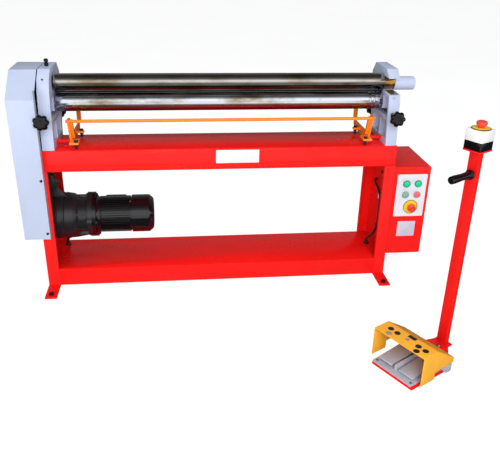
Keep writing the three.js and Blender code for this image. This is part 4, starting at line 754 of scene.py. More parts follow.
def make_materials():
    """Every material of the machine: one for each slot in the record, and finishes besides."""
    red, casting = tuple(style().red), tuple(style().casting)
    MATERIALS.update({
        "red_paint": paint("Red enamel", red, 0.25, 0.10, 0.0, 0.0, 0.05, 0.28),
        "casting_paint": paint("Blue-grey enamel on castings", casting, 0.42, 0.18, 0.25, 0.05),
        "cover_paint": paint("Blue-grey enamel on sheet", casting, 0.36, 0.14, 0.0, 0.08),
        # The rolls are one steel in two painted lights: the lower rolls' copy is paler and bluish as a painted
        # brighter reflection, and both darken their downward faces as painted shade.
        "bright_steel": ground_steel("Oiled ground steel", (0.60, 0.56, 0.53), 0.22, 0.1),
        "wiped_steel": ground_steel("Wiped ground steel", (0.74, 0.77, 0.84), 0.4, -0.5),
    })
    for maker, table in ((paint, PAINTS), (machined, METALS), (plastic, PLASTICS)):
        MATERIALS.update({slot: maker(*values) for slot, values in table.items()})


# Rolls and their bearings

def roll_profile(left, right, grooves):
    """Journal, barrel and journal, with wire grooves near the right end."""
    line = [(left, 0), (left, JOURNAL_RADIUS, 0.8), (ROLL_LEFT, JOURNAL_RADIUS),
            (ROLL_LEFT, ROLL_RADIUS, ROLL_CHAMFER)]
    if grooves:
        for index, radius in reversed(list(enumerate(GROOVE_RADII))):
            centre = ROLL_RIGHT - GROOVE_PITCH * (index + 1)
            angles = [math.pi * step / GROOVE_STEPS for step in range(GROOVE_STEPS + 1)]
            line += [(centre - radius * math.cos(a), ROLL_RADIUS - radius * math.sin(a))
                     for a in angles]
    return [*line, (ROLL_RIGHT, ROLL_RADIUS, ROLL_CHAMFER), (ROLL_RIGHT, JOURNAL_RADIUS),
            (right, JOURNAL_RADIUS, 0.8), (right, 0)]


def build_rolls():
    for node in ("upper_roll", "lower_roll", "rear_roll"):
        low, high, axis, _ = sized(node)
        upper = node == "upper_roll"
        left = low.x + DOG_LENGTH if upper else max(low.x, -STAND_INNER - JOURNAL_REACH)
        bm = bmesh.new()
        lathe(bm, roll_profile(left, high.x, not upper), "X", (0, axis.y, axis.z))
        if upper:
            prism(bm, rectangle(axis.y - DOG_HALF, axis.y + DOG_HALF, axis.z - DOG_HALF,
                                axis.z + DOG_HALF, 1.0), "X", low.x, left + 1)
        elif low.x < left - 5:
            lathe(bm, [(low.x, 0), (low.x, GEAR_SEAT_RADIUS, 1.0), (left + 1, GEAR_SEAT_RADIUS),
                       (left + 1, 0)], "X", (0, axis.y, axis.z))
        # The lower rolls take the paler copy of the steel, a painted brighter reflection.
        remade(node, "turned", bm, "bright_steel", "bright_steel" if upper else "wiped_steel")


def build_bearings():
    low, high, centre, radius = sized("swivel_bearing")
    half, inner = (high.x - low.x) / 2, JOURNAL_RADIUS + BORE_PLAY
    offsets = [half * (2 * i / BALL_STEPS - 1) for i in range(BALL_STEPS + 1)]
    profile = [(centre.x + off, math.sqrt(radius ** 2 - off ** 2)) for off in offsets]
    profile += [(centre.x + half, inner), (centre.x - half, inner), profile[0]]
    bm = bmesh.new()
    lathe(bm, profile, "X", (0, centre.y, centre.z))
    remade("swivel_bearing", "turned", bm, "bronze")
    low, high, centre, outer = sized("bronze_bush")
    bm = bmesh.new()
    lathe(bm, [(low.x, inner), (low.x, outer, 1.2), (high.x, outer, 1.2), (high.x, inner),
               (low.x, inner)], "X", (0, centre.y, centre.z))
    remade("bronze_bush", "turned", bm, "bronze")
    # A thin dark film on the slot's lower lip: part real oil, part painted shade where the roll shades the lip.
    lip = low.z - 0.6
    low, high = span("right_side_stand")
    bm = bmesh.new()
    block(bm, (low.x + 1, low.y + 12, lip - 0.2), (high.x - 10, OIL_AND_SHADE_FILM_BACK, lip + 0.3))
    piece("slot_oil_film", bm, "casting_paint", "grime")
    for kind, slot in (("lower", "casting_paint"), ("rear", "dark_steel")):
        for side in ("left", "right"):
            refined(f"{kind}_bearing_{side}", slot, 0.6)


def build_handle():
    low, high, centre, outer = sized("release_handle")
    bm = bmesh.new()
    lathe(bm, [(low.x, 0), (low.x, outer, 1.5), (high.x, outer, 5.0), (high.x, outer * 0.5),
               (high.x, 0)], "X", (0, centre.y, centre.z))
    hex_bolt(bm, (high.x, centre.y, sized("bronze_bush")[2].z), (1, 0, 0), 6.0, 0.2)
    remade("release_handle", "turned", bm, "casting_paint", "cover_paint")


# Side stands, cover and sheet metal

def build_stands():
    for node in ("left_side_stand", "right_side_stand"):
        refined(node, "casting_paint", 1.6, 3)
    for side, spot, slot in STAND_SCREWS:
        bm = bmesh.new()
        dome_screw(bm, spot, (0, -1, 0), STAND_SCREW_RADIUS)
        piece(f"stand_screw_{side}", bm, slot)


def build_sheet_metal():
    for node in ("bench_channel", "shelf_tray", "left_end_frame", "right_end_frame"):
        refined(node, "red_paint", 1.1, 3)
    refined("gear_cover", "casting_paint", 0.8, 3, "cover_paint")
    front = span("gear_cover")[0].y
    bm = bmesh.new()
    for z in COVER_SCREW_HEIGHTS:
        dome_screw(bm, (COVER_SCREW_X, front, z), (0, -1, 0), COVER_SCREW_RADIUS)
    piece("cover_screws", bm, "black_oxide")
    build_bench_bead()
    build_bare_plate("bench_plate", "bench_channel", NAME_PLATE, 3.0, "panel_white")


def build_bench_bead():
    """The bead along the bench front, just above its lower edge."""
    low, high = span("bench_channel")
    z = low.z + BEAD_RISE
    bm = bmesh.new()
    prism(bm, [(low.y + 0.4, z - 3), (low.y - 0.7, z - 1.4, 1), (low.y - 0.7, z + 1.4, 1),
               (low.y + 0.4, z + 3)], "X", low.x + 1, high.x - 1)
    piece("bench_bead", bm, "red_paint")


def build_bare_plate(name, node, edges, corner, finish):
    """A bare plate on the front of a CAD node; edges are its lowest and highest z, then x."""
    front = span(node)[0].y
    bm = bmesh.new()
    prism(bm, rectangle(*edges, corner), "Y", front - 1.2, front + 0.2)
    piece(name, bm, "panel_white", finish, bevel=0.4)


def build_feet():
    for side in ("left", "right"):
        for end in ("front", "rear"):
            node = f"foot_bolt_{end}_{side}"
            low, _, centre, _ = sized(node)
            bm = bmesh.new()
            hex_bolt(bm, (centre.x, centre.y, 8.2), (0, 0, 1), 9.6, 8.0, 1.1)
            lathe(bm, [(low.z, 0), (low.z, 5.8), (9.0, 5.8), (9.0, 0)], "Z",
                  (centre.x, centre.y, 0), HEAD_SEGMENTS)
            remade(node, "finished", bm, "black_oxide", bevel=0.3)


def build_oil_cap():
    low, high, centre, radius = sized("oil_cap", "x")
    height = high.z - low.z
    bm = bmesh.new()
    lathe(bm, [(low.z + height * rise, radius * width, 1.2) for rise, width in OIL_CAP_SHAPE], "Z",
          (centre.x, centre.y, 0), style().segments // 2)
    remade("oil_cap", "turned", bm, "black_plastic")


# Knobs

def lobed_grip(bm, radius, matrix):
    """A lobed grip with a soft dome; its face looks along +Z of the matrix."""
    count = KNOB_LOBES * STEPS_PER_LOBE
    angles = [TAU * i / count for i in range(count)]
    rings = []
    for rise, width in KNOB_ROWS:
        reaches = [radius * width * (1 - KNOB_LOBE_DEPTH * width
                                     * ((1 - math.cos(KNOB_LOBES * a)) / 2) ** 1.5) for a in angles]
        rings.append([bm.verts.new(matrix @ Vector((reach * math.cos(a), reach * math.sin(a),
                                                    rise * KNOB_THICKNESS)))
                      for a, reach in zip(angles, reaches)])
    for first, second in zip(rings, rings[1:]):
        bridge(bm, first, second)
    bm.faces.new(list(reversed(rings[0])))
    rim = [bm.verts.new(matrix @ Vector((u, v, KNOB_THICKNESS * 0.97)))
           for u, v in circle(radius * KNOB_CAP_SHARE, count)]
    bridge(bm, rings[-1], rim)
    bm.faces.new(rim)


def build_front_knobs():
    for side in ("left", "right"):
        node = f"front_knob_{side}"
        foot = joint_place(f"{node}_turn")
        low, high = span(node)
        back, cam = low.y + KNOB_THICKNESS, high.y - CAM_LENGTH
        half = style().segments // 2
        bm = bmesh.new()
        lobed_grip(bm, reach_from(node, foot, Vector((0, 1, 0))),
                   Matrix.Translation((foot.x, back, foot.z)) @ Matrix.Rotation(TAU / 4, 4, "X"))
        lathe(bm, [(back - 4, 0), (back - 4, 14.0), (back + 5, 14.0, 1), (back + 16, 11.5, 2),
                   (back + 16, SPINDLE_RADIUS), (cam, SPINDLE_RADIUS), (cam, 0)], "Y",
              (foot.x, 0, foot.z), half)
        lathe(bm, [(cam - 1, 0), (cam - 1, CAM_RADIUS), (high.y, CAM_RADIUS, 0.5), (high.y, 0)],
              "Y", (foot.x, 0, foot.z - 1.0), half)
        remade(node, "moulded", bm, "black_plastic")


def build_rear_knobs():
    down = -Vector(joint_of("rear_roll_lift")["axis"])
    for side in ("left", "right"):
        node = f"rear_knob_{side}"
        foot = joint_place(f"{node}_turn")
        matrix = facing(foot, down)
        back = max((spot - foot) @ down for spot in machine_points(node)) - KNOB_THICKNESS
        tip, thick = REAR_SCREW_START, REAR_SCREW_RADIUS
        bm = bmesh.new()
        lobed_grip(bm, reach_from(node, foot, down), matrix @ Matrix.Translation((0, 0, back)))
        lathe(bm, [(tip, 0), (tip, thick - 5), (tip + 5, thick), (back - 10, thick),
                   (back - 10, 11.5, 1), (back - 2, 14.0, 1), (back + 4, 14.0), (back + 4, 0)],
              segments=style().segments // 2, matrix=matrix)
        remade(node, "moulded", bm, "black_plastic")


# Drive: gears, sprockets and chain

def build_gears():
    for node in ("upper_gear", "lower_gear", "drive_sprocket"):
        refined(node, "dark_steel", 0.35)


def chain_pins():
    """Pin places round both sprockets, one link apart."""
    top, foot = (joint_place(name).yz for name in ("upper_gear_spin", "drive_sprocket_spin"))
    radii = [CHAIN_PITCH / (2 * math.sin(math.pi / teeth)) for teeth in (UPPER_TEETH, DRIVE_TEETH)]
    distance = (foot - top).length
    lean = math.asin((radii[0] - radii[1]) / distance)
    along = (foot - top) / distance
    across = Vector((-along.y, along.x))
    side = distance * math.cos(lean)
    arcs = [CHAIN_PITCH * UPPER_TEETH * (math.pi + 2 * lean) / TAU,
            CHAIN_PITCH * DRIVE_TEETH * (math.pi - 2 * lean) / TAU]
    turn = math.pi / 2 - lean
    total = arcs[0] + arcs[1] + 2 * side

    def around(centre, radius, angle, travel=0.0, slope=0.0):
        u = centre + radius * math.cos(angle) + travel * math.cos(slope)
        v = radius * math.sin(angle) + travel * math.sin(slope)
        return top + along * u + across * v

    def at(travel):
        if travel < arcs[0]:
            return around(0, radii[0], turn + travel * TAU / (CHAIN_PITCH * UPPER_TEETH))
        travel -= arcs[0]
        if travel < side:
            return around(0, radii[0], -turn, travel, lean)
        travel -= side
        if travel < arcs[1]:
            return around(distance, radii[1], -turn + travel * TAU / (CHAIN_PITCH * DRIVE_TEETH))
        return around(distance, radii[1], turn, arcs[1] - travel, -lean)

    return [at((i + 0.5) * total / CHAIN_LINKS) for i in range(CHAIN_LINKS)]


def link_outline(first, second):
    """A figure-of-eight side plate from one pin to the next."""
    ahead = (second - first).normalized()
    side = Vector((-ahead.y, ahead.x))
    points = []
    for centre, sign in ((first, -LINK_HALF_HEIGHT), (second, LINK_HALF_HEIGHT)):
        for step in range(7):
            angle = math.radians(-70 + 140 * step / 6)
            points.append(centre + ahead * sign * math.cos(angle) + side * sign * math.sin(angle))
        points.append((first + second) / 2 + side * sign * 0.7)
    return [(p.x, p.y) for p in points]


def build_chain():
    x = sized("roller_chain")[2].x
    pins = chain_pins()
    bm = bmesh.new()
    for index, pin in enumerate(pins):
        outline = link_outline(pin, pins[(index + 1) % len(pins)])
        gap = 2.4 if index % 2 else 3.6
        for plate in (x - gap, x + gap):
            prism(bm, outline, "X", plate - PLATE_HALF_THICKNESS, plate + PLATE_HALF_THICKNESS)
        for half, radius, segments in ((4.4, PIN_RADIUS, 8), (1.8, ROLLER_RADIUS, 10)):
            lathe(bm, [(x - half, 0), (x - half, radius), (x + half, radius), (x + half, 0)], "X",
                  (0, pin.x, pin.y), segments)
    remade("roller_chain", "links", bm, "dark_steel")


# Gearmotor

def flange_outline(core, radius, axis):
    """A round flange with four rounded lugs, as points in the YZ plane."""
    points = []
    for i in range(4 * FLANGE_STEPS):
        angle = TAU * i / (4 * FLANGE_STEPS)
        off = abs((angle + math.pi / 4) % (math.pi / 2) - math.pi / 4)
        lug = max(0.0, 1 - (off / 0.20) ** 2)
        reach = core + (radius - core) * min(1.0, lug * 2.2)
        points.append((axis.y + reach * math.cos(angle), axis.z + reach * math.sin(angle)))
    return points


def build_gearbox():
    low, high, _, flange = sized("gearbox")
    axis = joint_place("drive_sprocket_spin")
    case = style().case_radius
    neck = case * 0.73
    start = low.x + 15.0
    end = start + CASE_LENGTH
    bm = bmesh.new()
    lathe(bm, [(low.x, 0), (low.x, 14.6), (low.x, 34.0, 1), (low.x + 3, 40.0, 1), (start, 40.0),
               (start, case - 12, 3), (start + 12, case, 9), (start + 62, case, 2),
               (start + 66, case * 0.965, 2), (start + 70, case * 0.965, 2),
               (start + 74, case * 0.985, 2), (end - 12, case * 0.93, 5), (end, case * 0.85, 4),
               (end + 10, neck + 2, 6), (high.x - 19, neck, 6), (high.x - 19, 0)], "X",
          (0, axis.y, axis.z))
    prism(bm, flange_outline(flange * 0.91, flange, axis), "X", high.x - 20, high.x)
    for radius, x, count, size in ((flange * 0.89, high.x - 20, 4, 7.5),
                                   (case * 0.86, start + 5, 8, 6.0)):
        seed = bmesh.new()
        hex_bolt(seed, (radius, 0, 0), (0, 0, -1), size, 6.5)
        add_ring(bm, seed, count, "black_paint", along_x(axis, x))
    seed = bmesh.new()
    block(seed, (neck - 6, -3.5, end - 6), (flange * 0.86, 3.5, high.x - 18))
    add_ring(bm, seed, 8, "black_paint", along_x(axis) @ Matrix.Rotation(TAU / 16, 4, "Z"))
    hex_bolt(bm, (start + 84, axis.y, axis.z + case * 0.94), (0, 0, 1), 9.0, 7.0)
    remade("gearbox", "cast", bm, "black_paint", bevel=0.8)


def build_motor():
    low, high = span("motor_body")
    axis = joint_place("drive_sprocket_spin")
    flange = sized("gearbox")[3]
    core = style().motor_radius
    bm = bmesh.new()
    prism(bm, flange_outline(flange * 0.90, flange, axis), "X", low.x, low.x + 14)
    lathe(bm, [(low.x + 13, 0), (low.x + 13, flange * 0.86, 2.5), (low.x + 22, core + 7, 5),
               (low.x + 32, core + 7, 3), (low.x + 34, core, 2), (high.x - 8, core, 2),
               (high.x - 8, core + 4, 1), (high.x, core + 4, 1), (high.x, 0)], "X",
          (0, axis.y, axis.z))
    seed = bmesh.new()
    prism(seed, filleted([(core - 3, -1.7), (core + 8, -1.0, 0.7), (core + 8, 1.0, 0.7),
                          (core - 3, 1.7)], True, 2), "Z", low.x + 30, high.x - 6)
    add_ring(bm, seed, FIN_COUNT, "motor_paint", along_x(axis))
    seed = bmesh.new()
    hex_bolt(seed, (flange * 0.89, 0, 0), (0, 0, 1), 7.0, 6.5)
    add_ring(bm, seed, 4, "motor_paint", along_x(axis, low.x + 14))
    start = low.x + TERMINAL_START
    terminal = rectangle(axis.z - TERMINAL_HALF, axis.z + TERMINAL_HALF, start,
                         start + TERMINAL_LENGTH, 6)
    prism(bm, terminal, "Y", axis.y + core - 10, high.y - 9)
    prism(bm, terminal, "Y", high.y - 8, high.y)
    remade("motor_body", "cast", bm, "black_paint", "motor_paint")
    out = Vector((0, -math.cos(EARTH_SCREW_ANGLE), math.sin(EARTH_SCREW_ANGLE)))
    bm = bmesh.new()
    dome_screw(bm, Vector((high.x - 4, axis.y, axis.z)) + out * (core + 7.5), out, 3.6)
    piece("motor_earth_screw", bm, "bronze")


def build_cowl():
    low, high, centre, radius = sized("fan_cowl")
    axis = (0, centre.y, centre.z)
    opening = radius * 0.72
    bm = bmesh.new()
    lathe(bm, filleted([(low.x, 0), (low.x, radius, 1), (high.x - 17, radius, 14),
                        (high.x, radius * 0.8, 14), (high.x, opening, 1.5),
                        (high.x - 6, opening, 1.5), (high.x - 6, 0)], steps=8), "X", axis)
    back, front = high.x - 3.2, high.x - 0.8
    for share in GRILLE_SHARES:
        inner, outer = opening * share - 1.3, opening * share + 1.3
        lathe(bm, [(back, inner), (back, outer), (front, outer, 1), (front, inner, 1),
                   (back, inner)], "X", axis)
    seed = bmesh.new()
    block(seed, (opening * 0.26, -1.6, high.x - 3.4), (opening + 1.0, 1.6, high.x - 1.0))
    add_ring(bm, seed, 12, "black_paint", along_x(centre))
    for angle in COWL_SCREW_ANGLES:
        a = math.radians(angle)
        out = Vector((0, math.cos(a), math.sin(a)))
        dome_screw(bm, Vector((low.x + 12, centre.y, centre.z)) + out * radius, out, 3.4)
    remade("fan_cowl", "pressed", bm, "black_paint", "motor_paint")


def build_mount():
    """The gearbox's mounting plate, with its rear web narrower than in the CAD."""
    plate, middle = span("motor_mount")[0].x + MOUNT_THICKNESS, sized("fan_cowl")[2].y

    def narrower(spot):
        if spot.x > plate and spot.y > middle:
            spot.x = plate + (spot.x - plate) * REAR_WEB_SHARE
        return spot

    refined("motor_mount", "black_paint", 1.0, reshape=narrower)


# Trip frame

def build_trip_frame():
    refined("trip_frame", "orange_paint", 0.7)
    bm = bmesh.new()
    for x, y in STOP_BOLT_PLACES:
        for bottom, top in STOP_NUT_HEIGHTS:
            prism(bm, circle(STOP_NUT_RADIUS, 6), "Z", bottom, top, Matrix.Translation((x, y, 0)))
        lathe(bm, [(600.0, 0), (600.0, 5.4), (611.0, 5.4), (611.0, 0)], "Z", (x, y, 0), 20)
    piece("trip_stop_nuts", bm, "black_oxide", body="trip_frame", bevel=0.4)
    bm = bmesh.new()
    for left, right in POST_PLATES:
        block(bm, (left, 262.4, 640.0), (right, 265.2, 722.0))
    piece("trip_post_plates", bm, "orange_paint", body="trip_frame", bevel=0.6)
    for side in ("left", "right"):
        node = f"pivot_rod_{side}"
        low, high, centre, radius = sized(node)
        bm = bmesh.new()
        lathe(bm, [(low.x, 0), (low.x, radius, 1.2), (high.x, radius, 1.2), (high.x, 0)], "X",
              (0, centre.y, centre.z), style().segments // 2)
        remade(node, "turned", bm, "red_paint")


# Control box

def build_control_box():
    refined("control_box", "red_paint", 1.6, 4)
    refined("panel_plate", "panel_white", 0.4)
    build_bare_plate("box_plate", "control_box", BOX_PLATE, 2.0, "pale_plate")
    for node, slot in BUTTONS:
        build_button(node, slot)
    build_stop("panel_stop_ring", "panel_stop_button", "Y")
    bm = bmesh.new()
    dome_screw(bm, BOX_BOLT, (-1, 0, 0), 8.0)
    piece("box_bolt", bm, "black_oxide")


def build_button(node, slot):
    """A push button's cap and the bezel round it on the panel plate."""
    low, high, centre, radius = sized(node, "x")
    plate = span("panel_plate")[0].y
    lens, stem, inner, outer = radius * 1.12, radius * 0.92, radius * 1.12 + 0.3, radius * 1.38
    axis, half = (centre.x, 0, centre.z), style().segments // 2
    bm = bmesh.new()
    lathe(bm, [(low.y, 0), (low.y, lens * 0.84), (low.y + 0.8, lens, 0.6), (plate - 3.4, lens),
               (plate - 3.4, stem), (high.y, stem), (high.y, 0)], "Y", axis, half)
    remade(node, "cap", bm, slot)
    bm = bmesh.new()
    lathe(bm, [(plate, inner), (plate, outer, 0.4), (plate - 3.2, outer, 1.0),
               (plate - 4.2, inner, 0.4), (plate, inner)], "Y", axis, half)
    piece(f"{node}_bezel", bm, "panel_white", f"{slot}_rim")


def build_stop(ring, button, axis):
    """An emergency stop: a round yellow plate and a red mushroom with a dished face."""
    low, high, spot, radius = sized(ring, "x")
    along, sign = (2, 1) if axis == "Z" else (1, -1)
    start = low[along] if axis == "Z" else high[along]
    spot[along] = 0
    top, step, rim = start + sign * 3.0, start + sign * 2.6, radius + 1.8
    bm = bmesh.new()
    lathe(bm, [(start, 11.0), (start, radius, 0.4), (start + sign * 2.4, radius, 1.0),
               (top, radius * 0.82, 1.0), (top, 11.0), (start, 11.0)], axis, spot)
    remade(ring, "moulded", bm, "yellow_plastic")
    bm = bmesh.new()
    lathe(bm, [(start, radius + 0.1), (start, rim, 0.4), (step, rim, 0.6), (step, radius + 0.1),
               (start, radius + 0.1)], axis, spot)
    piece(f"{ring}_rim", bm, "black_plastic", "dot_black")
    low, high, _, head = sized(button, "x")
    near, far = (low[along], high[along]) if axis == "Z" else (high[along], low[along])
    top = abs(far - near)
    shape = ((0, 0, 0), (0, 10, 0), (top - head, 10, 1), (top - head * 0.86, head * 0.82, 1.5),
             (top - head * 0.5, head, 3), (top - head * 0.16, head * 0.93, 3),
             (top, head * 0.6, 2), (top - 0.8, head * 0.3, 3), (top - 0.8, 0, 0))
    bm = bmesh.new()
    lathe(bm, [(near + sign * rise, reach, fillet) for rise, reach, fillet in shape], axis, spot)
    remade(button, "moulded", bm, "red_plastic")


# Motor cable

def build_cable():
    bm = bmesh.new()
    tube(bm, smooth_line(CABLE_ROUTE), CABLE_RADIUS, CABLE_SEGMENTS)
    remade("motor_cable", "sheath", bm, "cable_rubber")
    for name, corners, slot, bevel in (("cable_clip", CABLE_CLIP, "cable_rubber", 1.5),
                                       ("cable_pad", CABLE_PAD, "box_grey", 0.5)):
        bm = bmesh.new()
        block(bm, *corners)
        piece(name, bm, slot, bevel=bevel)
    for node in ("shelf_gland_left", "shelf_gland_right"):
        low, high, centre, outer = sized(node, "x")
        inner = CABLE_RADIUS + BORE_PLAY
        bm = bmesh.new()
        lathe(bm, [(low.z, inner), (low.z, outer * 0.7, 0.5), (79.2, outer * 0.7),
                   (79.2, outer, 0.5), (83.0, outer, 1), (84.5, outer * 0.8, 1),
                   (high.z - 1, outer * 0.72, 1.5), (high.z, inner, 0.5), (low.z, inner)], "Z",
              (centre.x, centre.y, 0), style().segments // 2)
        prism(bm, circle(outer, 6), "Z", 79.4, 82.5, Matrix.Translation((centre.x, centre.y, 0)))
        remade(node, "moulded", bm, "cable_rubber")


# Pedal station

def build_station():
    for part in STATION_PARTS:
        refined(*part)
    build_stop("post_stop_ring", "post_stop_button", "Z")


def build_guard_marks():
    """Plain dots and a bar on the guard."""
    low, high = (span("pedal_guard")[1].z + rise for rise in (-0.3, 0.5))
    for name, dots, bars, finish in (("guard_dots", DARK_DOTS, (DARK_BAR,), "dot_black"),
                                     ("guard_dots_pale", PALE_DOTS, (), "dot_grey")):
        bm = bmesh.new()
        for u, v, radius in dots:
            lathe(bm, [(low, 0), (low, radius), (high, radius, 0.3), (high, 0)], "Z", (u, v, 0),
                  32, STATION)
        for near, far in bars:
            block(bm, (*near, low), (*far, high), STATION)
        piece(name, bm, "guard_yellow", finish)


def build_station_screws():
    bm = bmesh.new()
    for spot in STATION_SCREWS:
        dome_screw(bm, STATION @ Vector(spot), (0, 0, 1), 5.0)
    hex_bolt(bm, STATION @ Vector(STATION_BOLT), (0, 0, 1), 9.0, 7.0)
    piece("station_screws", bm, "pedal_grey", "zinc")


# Stage

def build_stage():
    """A pale floor, soft front light and the camera at the photograph's angle."""
    build_world()
    mesh = bpy.data.meshes.new("Floor")
    corners = [(x, y, 0) for x, y, _ in rectangle(-FLOOR_REACH, FLOOR_REACH, -FLOOR_REACH,
                                                  FLOOR_REACH, 0)]
    mesh.from_pydata(corners, [], [(0, 1, 2, 3)])
    floor = new_object("Floor", mesh)
    floor.data.materials.append(floor_material())
    softbox("Key light", (0.2, -4.6, 2.6), style().key_power, 3.0)
    softbox("Fill light", (-3.0, -3.0, 1.6), style().fill_power, 2.2)
    softbox("Top light", (0.3, 0.4, 4.2), style().top_power, 2.6)
    build_camera()


def build_world():
    """A white backdrop, an even light all round and bands of light for mirrored rays."""
    world = bpy.data.worlds.new("Studio")
    bpy.context.scene.world = world
    tree = Tree(world, "Generated")
    ahead = tree.calc("MULTIPLY", tree.part(tree.coords, "Y"), -1.0)
    rise = tree.calc("ARCTAN2", tree.part(tree.coords, "Z"), ahead)
    share = tree.node("ShaderNodeMapRange", {"Value": rise, "From Max": math.pi}).outputs[0]
    bands = tree.ramp(share, [(angle / 180, value) for angle, value in MIRROR_BANDS])
    mirrored, ambient, backdrop = (
        tree.node("ShaderNodeBackground", {"Color": colour, "Strength": strength}).outputs[0]
        for colour, strength in ((bands, MIRROR_STRENGTH), ((0.92, 0.94, 1.0, 1), AMBIENT),
                                 ((1, 1, 1, 1), 1.0)))
    path = tree.node("ShaderNodeLightPath")
    light = ambient
    for ray, seen in (("Is Glossy Ray", mirrored), ("Is Camera Ray", backdrop)):
        light = tree.node("ShaderNodeMixShader", {"Fac": path.outputs[ray], 1: light,
                                                  2: seen}).outputs[0]
    tree.feed(tree.found("OUTPUT_WORLD").inputs[0], light)


def floor_material():
    """White floor that keeps soft contact shadows but reads as white to the camera."""
    shader = Shader("White floor")
    cloud = shader.grey(shader.noise(1.2, 2.0), 0.3, 0.7, 0.24, 0.28)
    path = shader.node("ShaderNodeLightPath")
    glow = shader.calc("MULTIPLY_ADD", path.outputs["Is Camera Ray"], 0.46, 0.42)
    mirrored = shader.node("ShaderNodeMapRange", {
        "Value": shader.part(shader.coords, "Y"), "From Min": FLOOR_FAR, "From Max": FLOOR_NEAR,
        "To Min": 1.1, "To Max": 0.04}).outputs[0]
    glossy = path.outputs["Is Glossy Ray"]
    return shader.set(Base_Color=shader.mix(glossy, cloud, (0.02, 0.02, 0.02, 1)), Roughness=0.9,
                      Specular_IOR_Level=0.0, Emission_Color=(1, 1, 1, 1),
                      Emission_Strength=shader.mix(glossy, glow, mirrored))


def softbox(name, spot, power, size):
    light = bpy.data.lights.new(name, "AREA")
    light.energy = power
    light.size = size
    thing = new_object(name, light)
    thing.location = spot
    thing.visible_glossy = False
    thing.rotation_euler = (LIGHT_AIM - thing.location).to_track_quat("-Z", "Y").to_euler()


def build_camera():
    """The camera at the place and angle that were measured from the photograph."""
    camera = bpy.data.cameras.new("Camera")
    camera.sensor_fit = "HORIZONTAL"
    camera.sensor_width = SENSOR_WIDTH
    camera.lens = CAMERA_FOCUS * SENSOR_WIDTH / PHOTO_WIDTH
    thing = new_object("Camera", camera)
    yaw, pitch, roll = (math.radians(a) for a in (CAMERA_YAW, CAMERA_PITCH, CAMERA_ROLL))
    ahead = Vector((math.sin(yaw) * math.cos(pitch), math.cos(yaw) * math.cos(pitch),
                    -math.sin(pitch)))
    right = Vector((math.cos(yaw), -math.sin(yaw), 0.0))
    up = right.cross(ahead)
    turn = Matrix((right * math.cos(roll) + up * math.sin(roll),
                   up * math.cos(roll) - right * math.sin(roll), -ahead)).transposed()
    thing.matrix_world = Matrix.Translation(place(CAMERA_PLACE)) @ turn.to_4x4()
    bpy.context.scene.camera = thing
    bpy.context.scene.view_settings.view_transform = "Standard"


# Panel, operators and properties

class SlipRollLook(bpy.types.PropertyGroup):
    """The values that set the machine's look."""

    segments: IntProperty(name="Round segments", description="Sides of the larger turned pieces",
                          default=96, min=24, max=192)
    red: FloatVectorProperty(name="Red enamel", description="Colour of the folded stand",
                             subtype="COLOR", default=(0.86, 0.010, 0.008), min=0.0, max=1.0)
    casting: FloatVectorProperty(name="Casting enamel", subtype="COLOR", min=0.0, max=1.0,
                                 description="Colour of the stands and the cover",
                                 default=(0.47, 0.53, 0.69))
    case_radius: FloatProperty(name="Gearbox radius", default=99.0, min=60.0, max=110.0,
                               description="Radius of the gearbox case, in mm")
    motor_radius: FloatProperty(name="Motor radius", default=69.0, min=40.0, max=90.0,
                                description="Radius under the motor's fins, in mm")
    key_power: FloatProperty(name="Key light", description="Power of the front light",
                             unit="POWER", default=230.0, min=0.0)
    fill_power: FloatProperty(name="Fill light", description="Power of the left-hand light",
                              unit="POWER", default=60.0, min=0.0)
    top_power: FloatProperty(name="Top light", description="Power of the overhead light",
                             unit="POWER", default=40.0, min=0.0)


class BuildStep(bpy.types.Operator):
    """A step of the machine's look, which runs its builders in order."""

    bl_idname = "slip_roll.step"
    bl_label = "Step"
    bl_options = {"REGISTER", "UNDO"}
    builders = ()

    def execute(self, context):
        for build in self.builders:
            build()
        return {"FINISHED"}


class BuildRolls(BuildStep):
    """Turns the three rolls, their bearings and the release handle."""

    bl_idname = "slip_roll.rolls"
    bl_label = "Rolls"
    builders = (build_rolls, build_bearings, build_handle)


class BuildStand(BuildStep):
    """Finishes the folded stand, the castings, the cover and their fasteners."""

    bl_idname = "slip_roll.stand"
    bl_label = "Stand"
    builders = (build_stands, build_sheet_metal, build_feet, build_oil_cap)


class BuildKnobs(BuildStep):
    """Moulds the lobed knobs on their spindles and screws."""

    bl_idname = "slip_roll.knobs"
    bl_label = "Knobs"
    builders = (build_front_knobs, build_rear_knobs)


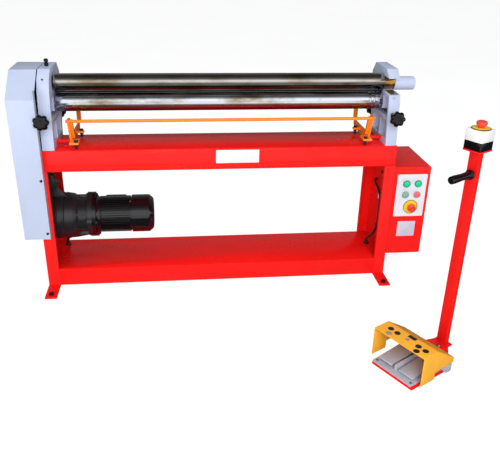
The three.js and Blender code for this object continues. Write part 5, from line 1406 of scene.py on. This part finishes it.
class BuildDrive(BuildStep):
    """Makes the gears, the chain and the gearmotor on its mounting plate."""

    bl_idname = "slip_roll.drive"
    bl_label = "Drive"
    builders = (build_gears, build_chain, build_gearbox, build_motor, build_cowl, build_mount)


class BuildTripFrame(BuildStep):
    """Makes the rocking trip frame and its pivots."""

    bl_idname = "slip_roll.trip_frame"
    bl_label = "Trip frame"
    builders = (build_trip_frame,)


class BuildControls(BuildStep):
    """Makes the control box, its buttons and the motor cable with its fittings."""

    bl_idname = "slip_roll.controls"
    bl_label = "Controls"
    builders = (build_control_box, build_cable)


class BuildStation(BuildStep):
    """Makes the pedal station."""

    bl_idname = "slip_roll.station"
    bl_label = "Pedal station"
    builders = (build_station, build_guard_marks, build_station_screws)


class BuildStage(BuildStep):
    """Sets the floor, the light and the camera."""

    bl_idname = "slip_roll.stage"
    bl_label = "Stage"
    builders = (build_stage,)


class SlipRollPanel(bpy.types.Panel):
    """Buttons for the steps and the values of the look."""

    bl_idname = "VIEW3D_PT_slip_roll"
    bl_label = "Slip roll"
    bl_space_type = "VIEW_3D"
    bl_region_type = "UI"
    bl_category = "Slip roll"

    def draw(self, context):
        for name in SlipRollLook.__annotations__:
            self.layout.prop(style(), name)
        for step in STEPS:
            self.layout.operator(step.bl_idname)


STEPS = (BuildRolls, BuildStand, BuildKnobs, BuildDrive, BuildTripFrame, BuildControls,
         BuildStation, BuildStage)
CLASSES = (SlipRollLook, *STEPS, SlipRollPanel)


def register():
    for cls in CLASSES:
        bpy.utils.register_class(cls)
    bpy.types.Scene.slip_roll_look = PointerProperty(type=SlipRollLook)


def unregister():
    del bpy.types.Scene.slip_roll_look
    for cls in reversed(CLASSES):
        bpy.utils.unregister_class(cls)


def finish_rest():
    """Gives any CAD node that is still shown its own material."""
    slots = {part["node"]: part["material_slot"] for part in frame["record"]["subparts"]}
    for node, thing in frame["nodes"].items():
        if not thing.hide_render:
            thing.data.materials.clear()
            thing.data.materials.append(MATERIALS[slots[node]])
            smoothed(thing)


def main():
    register()
    make_materials()
    make_ring_group()
    for step in STEPS:
        getattr(bpy.ops.slip_roll, step.bl_idname.split(".")[1])()
    finish_rest()


if __name__ == "__main__":
    main()
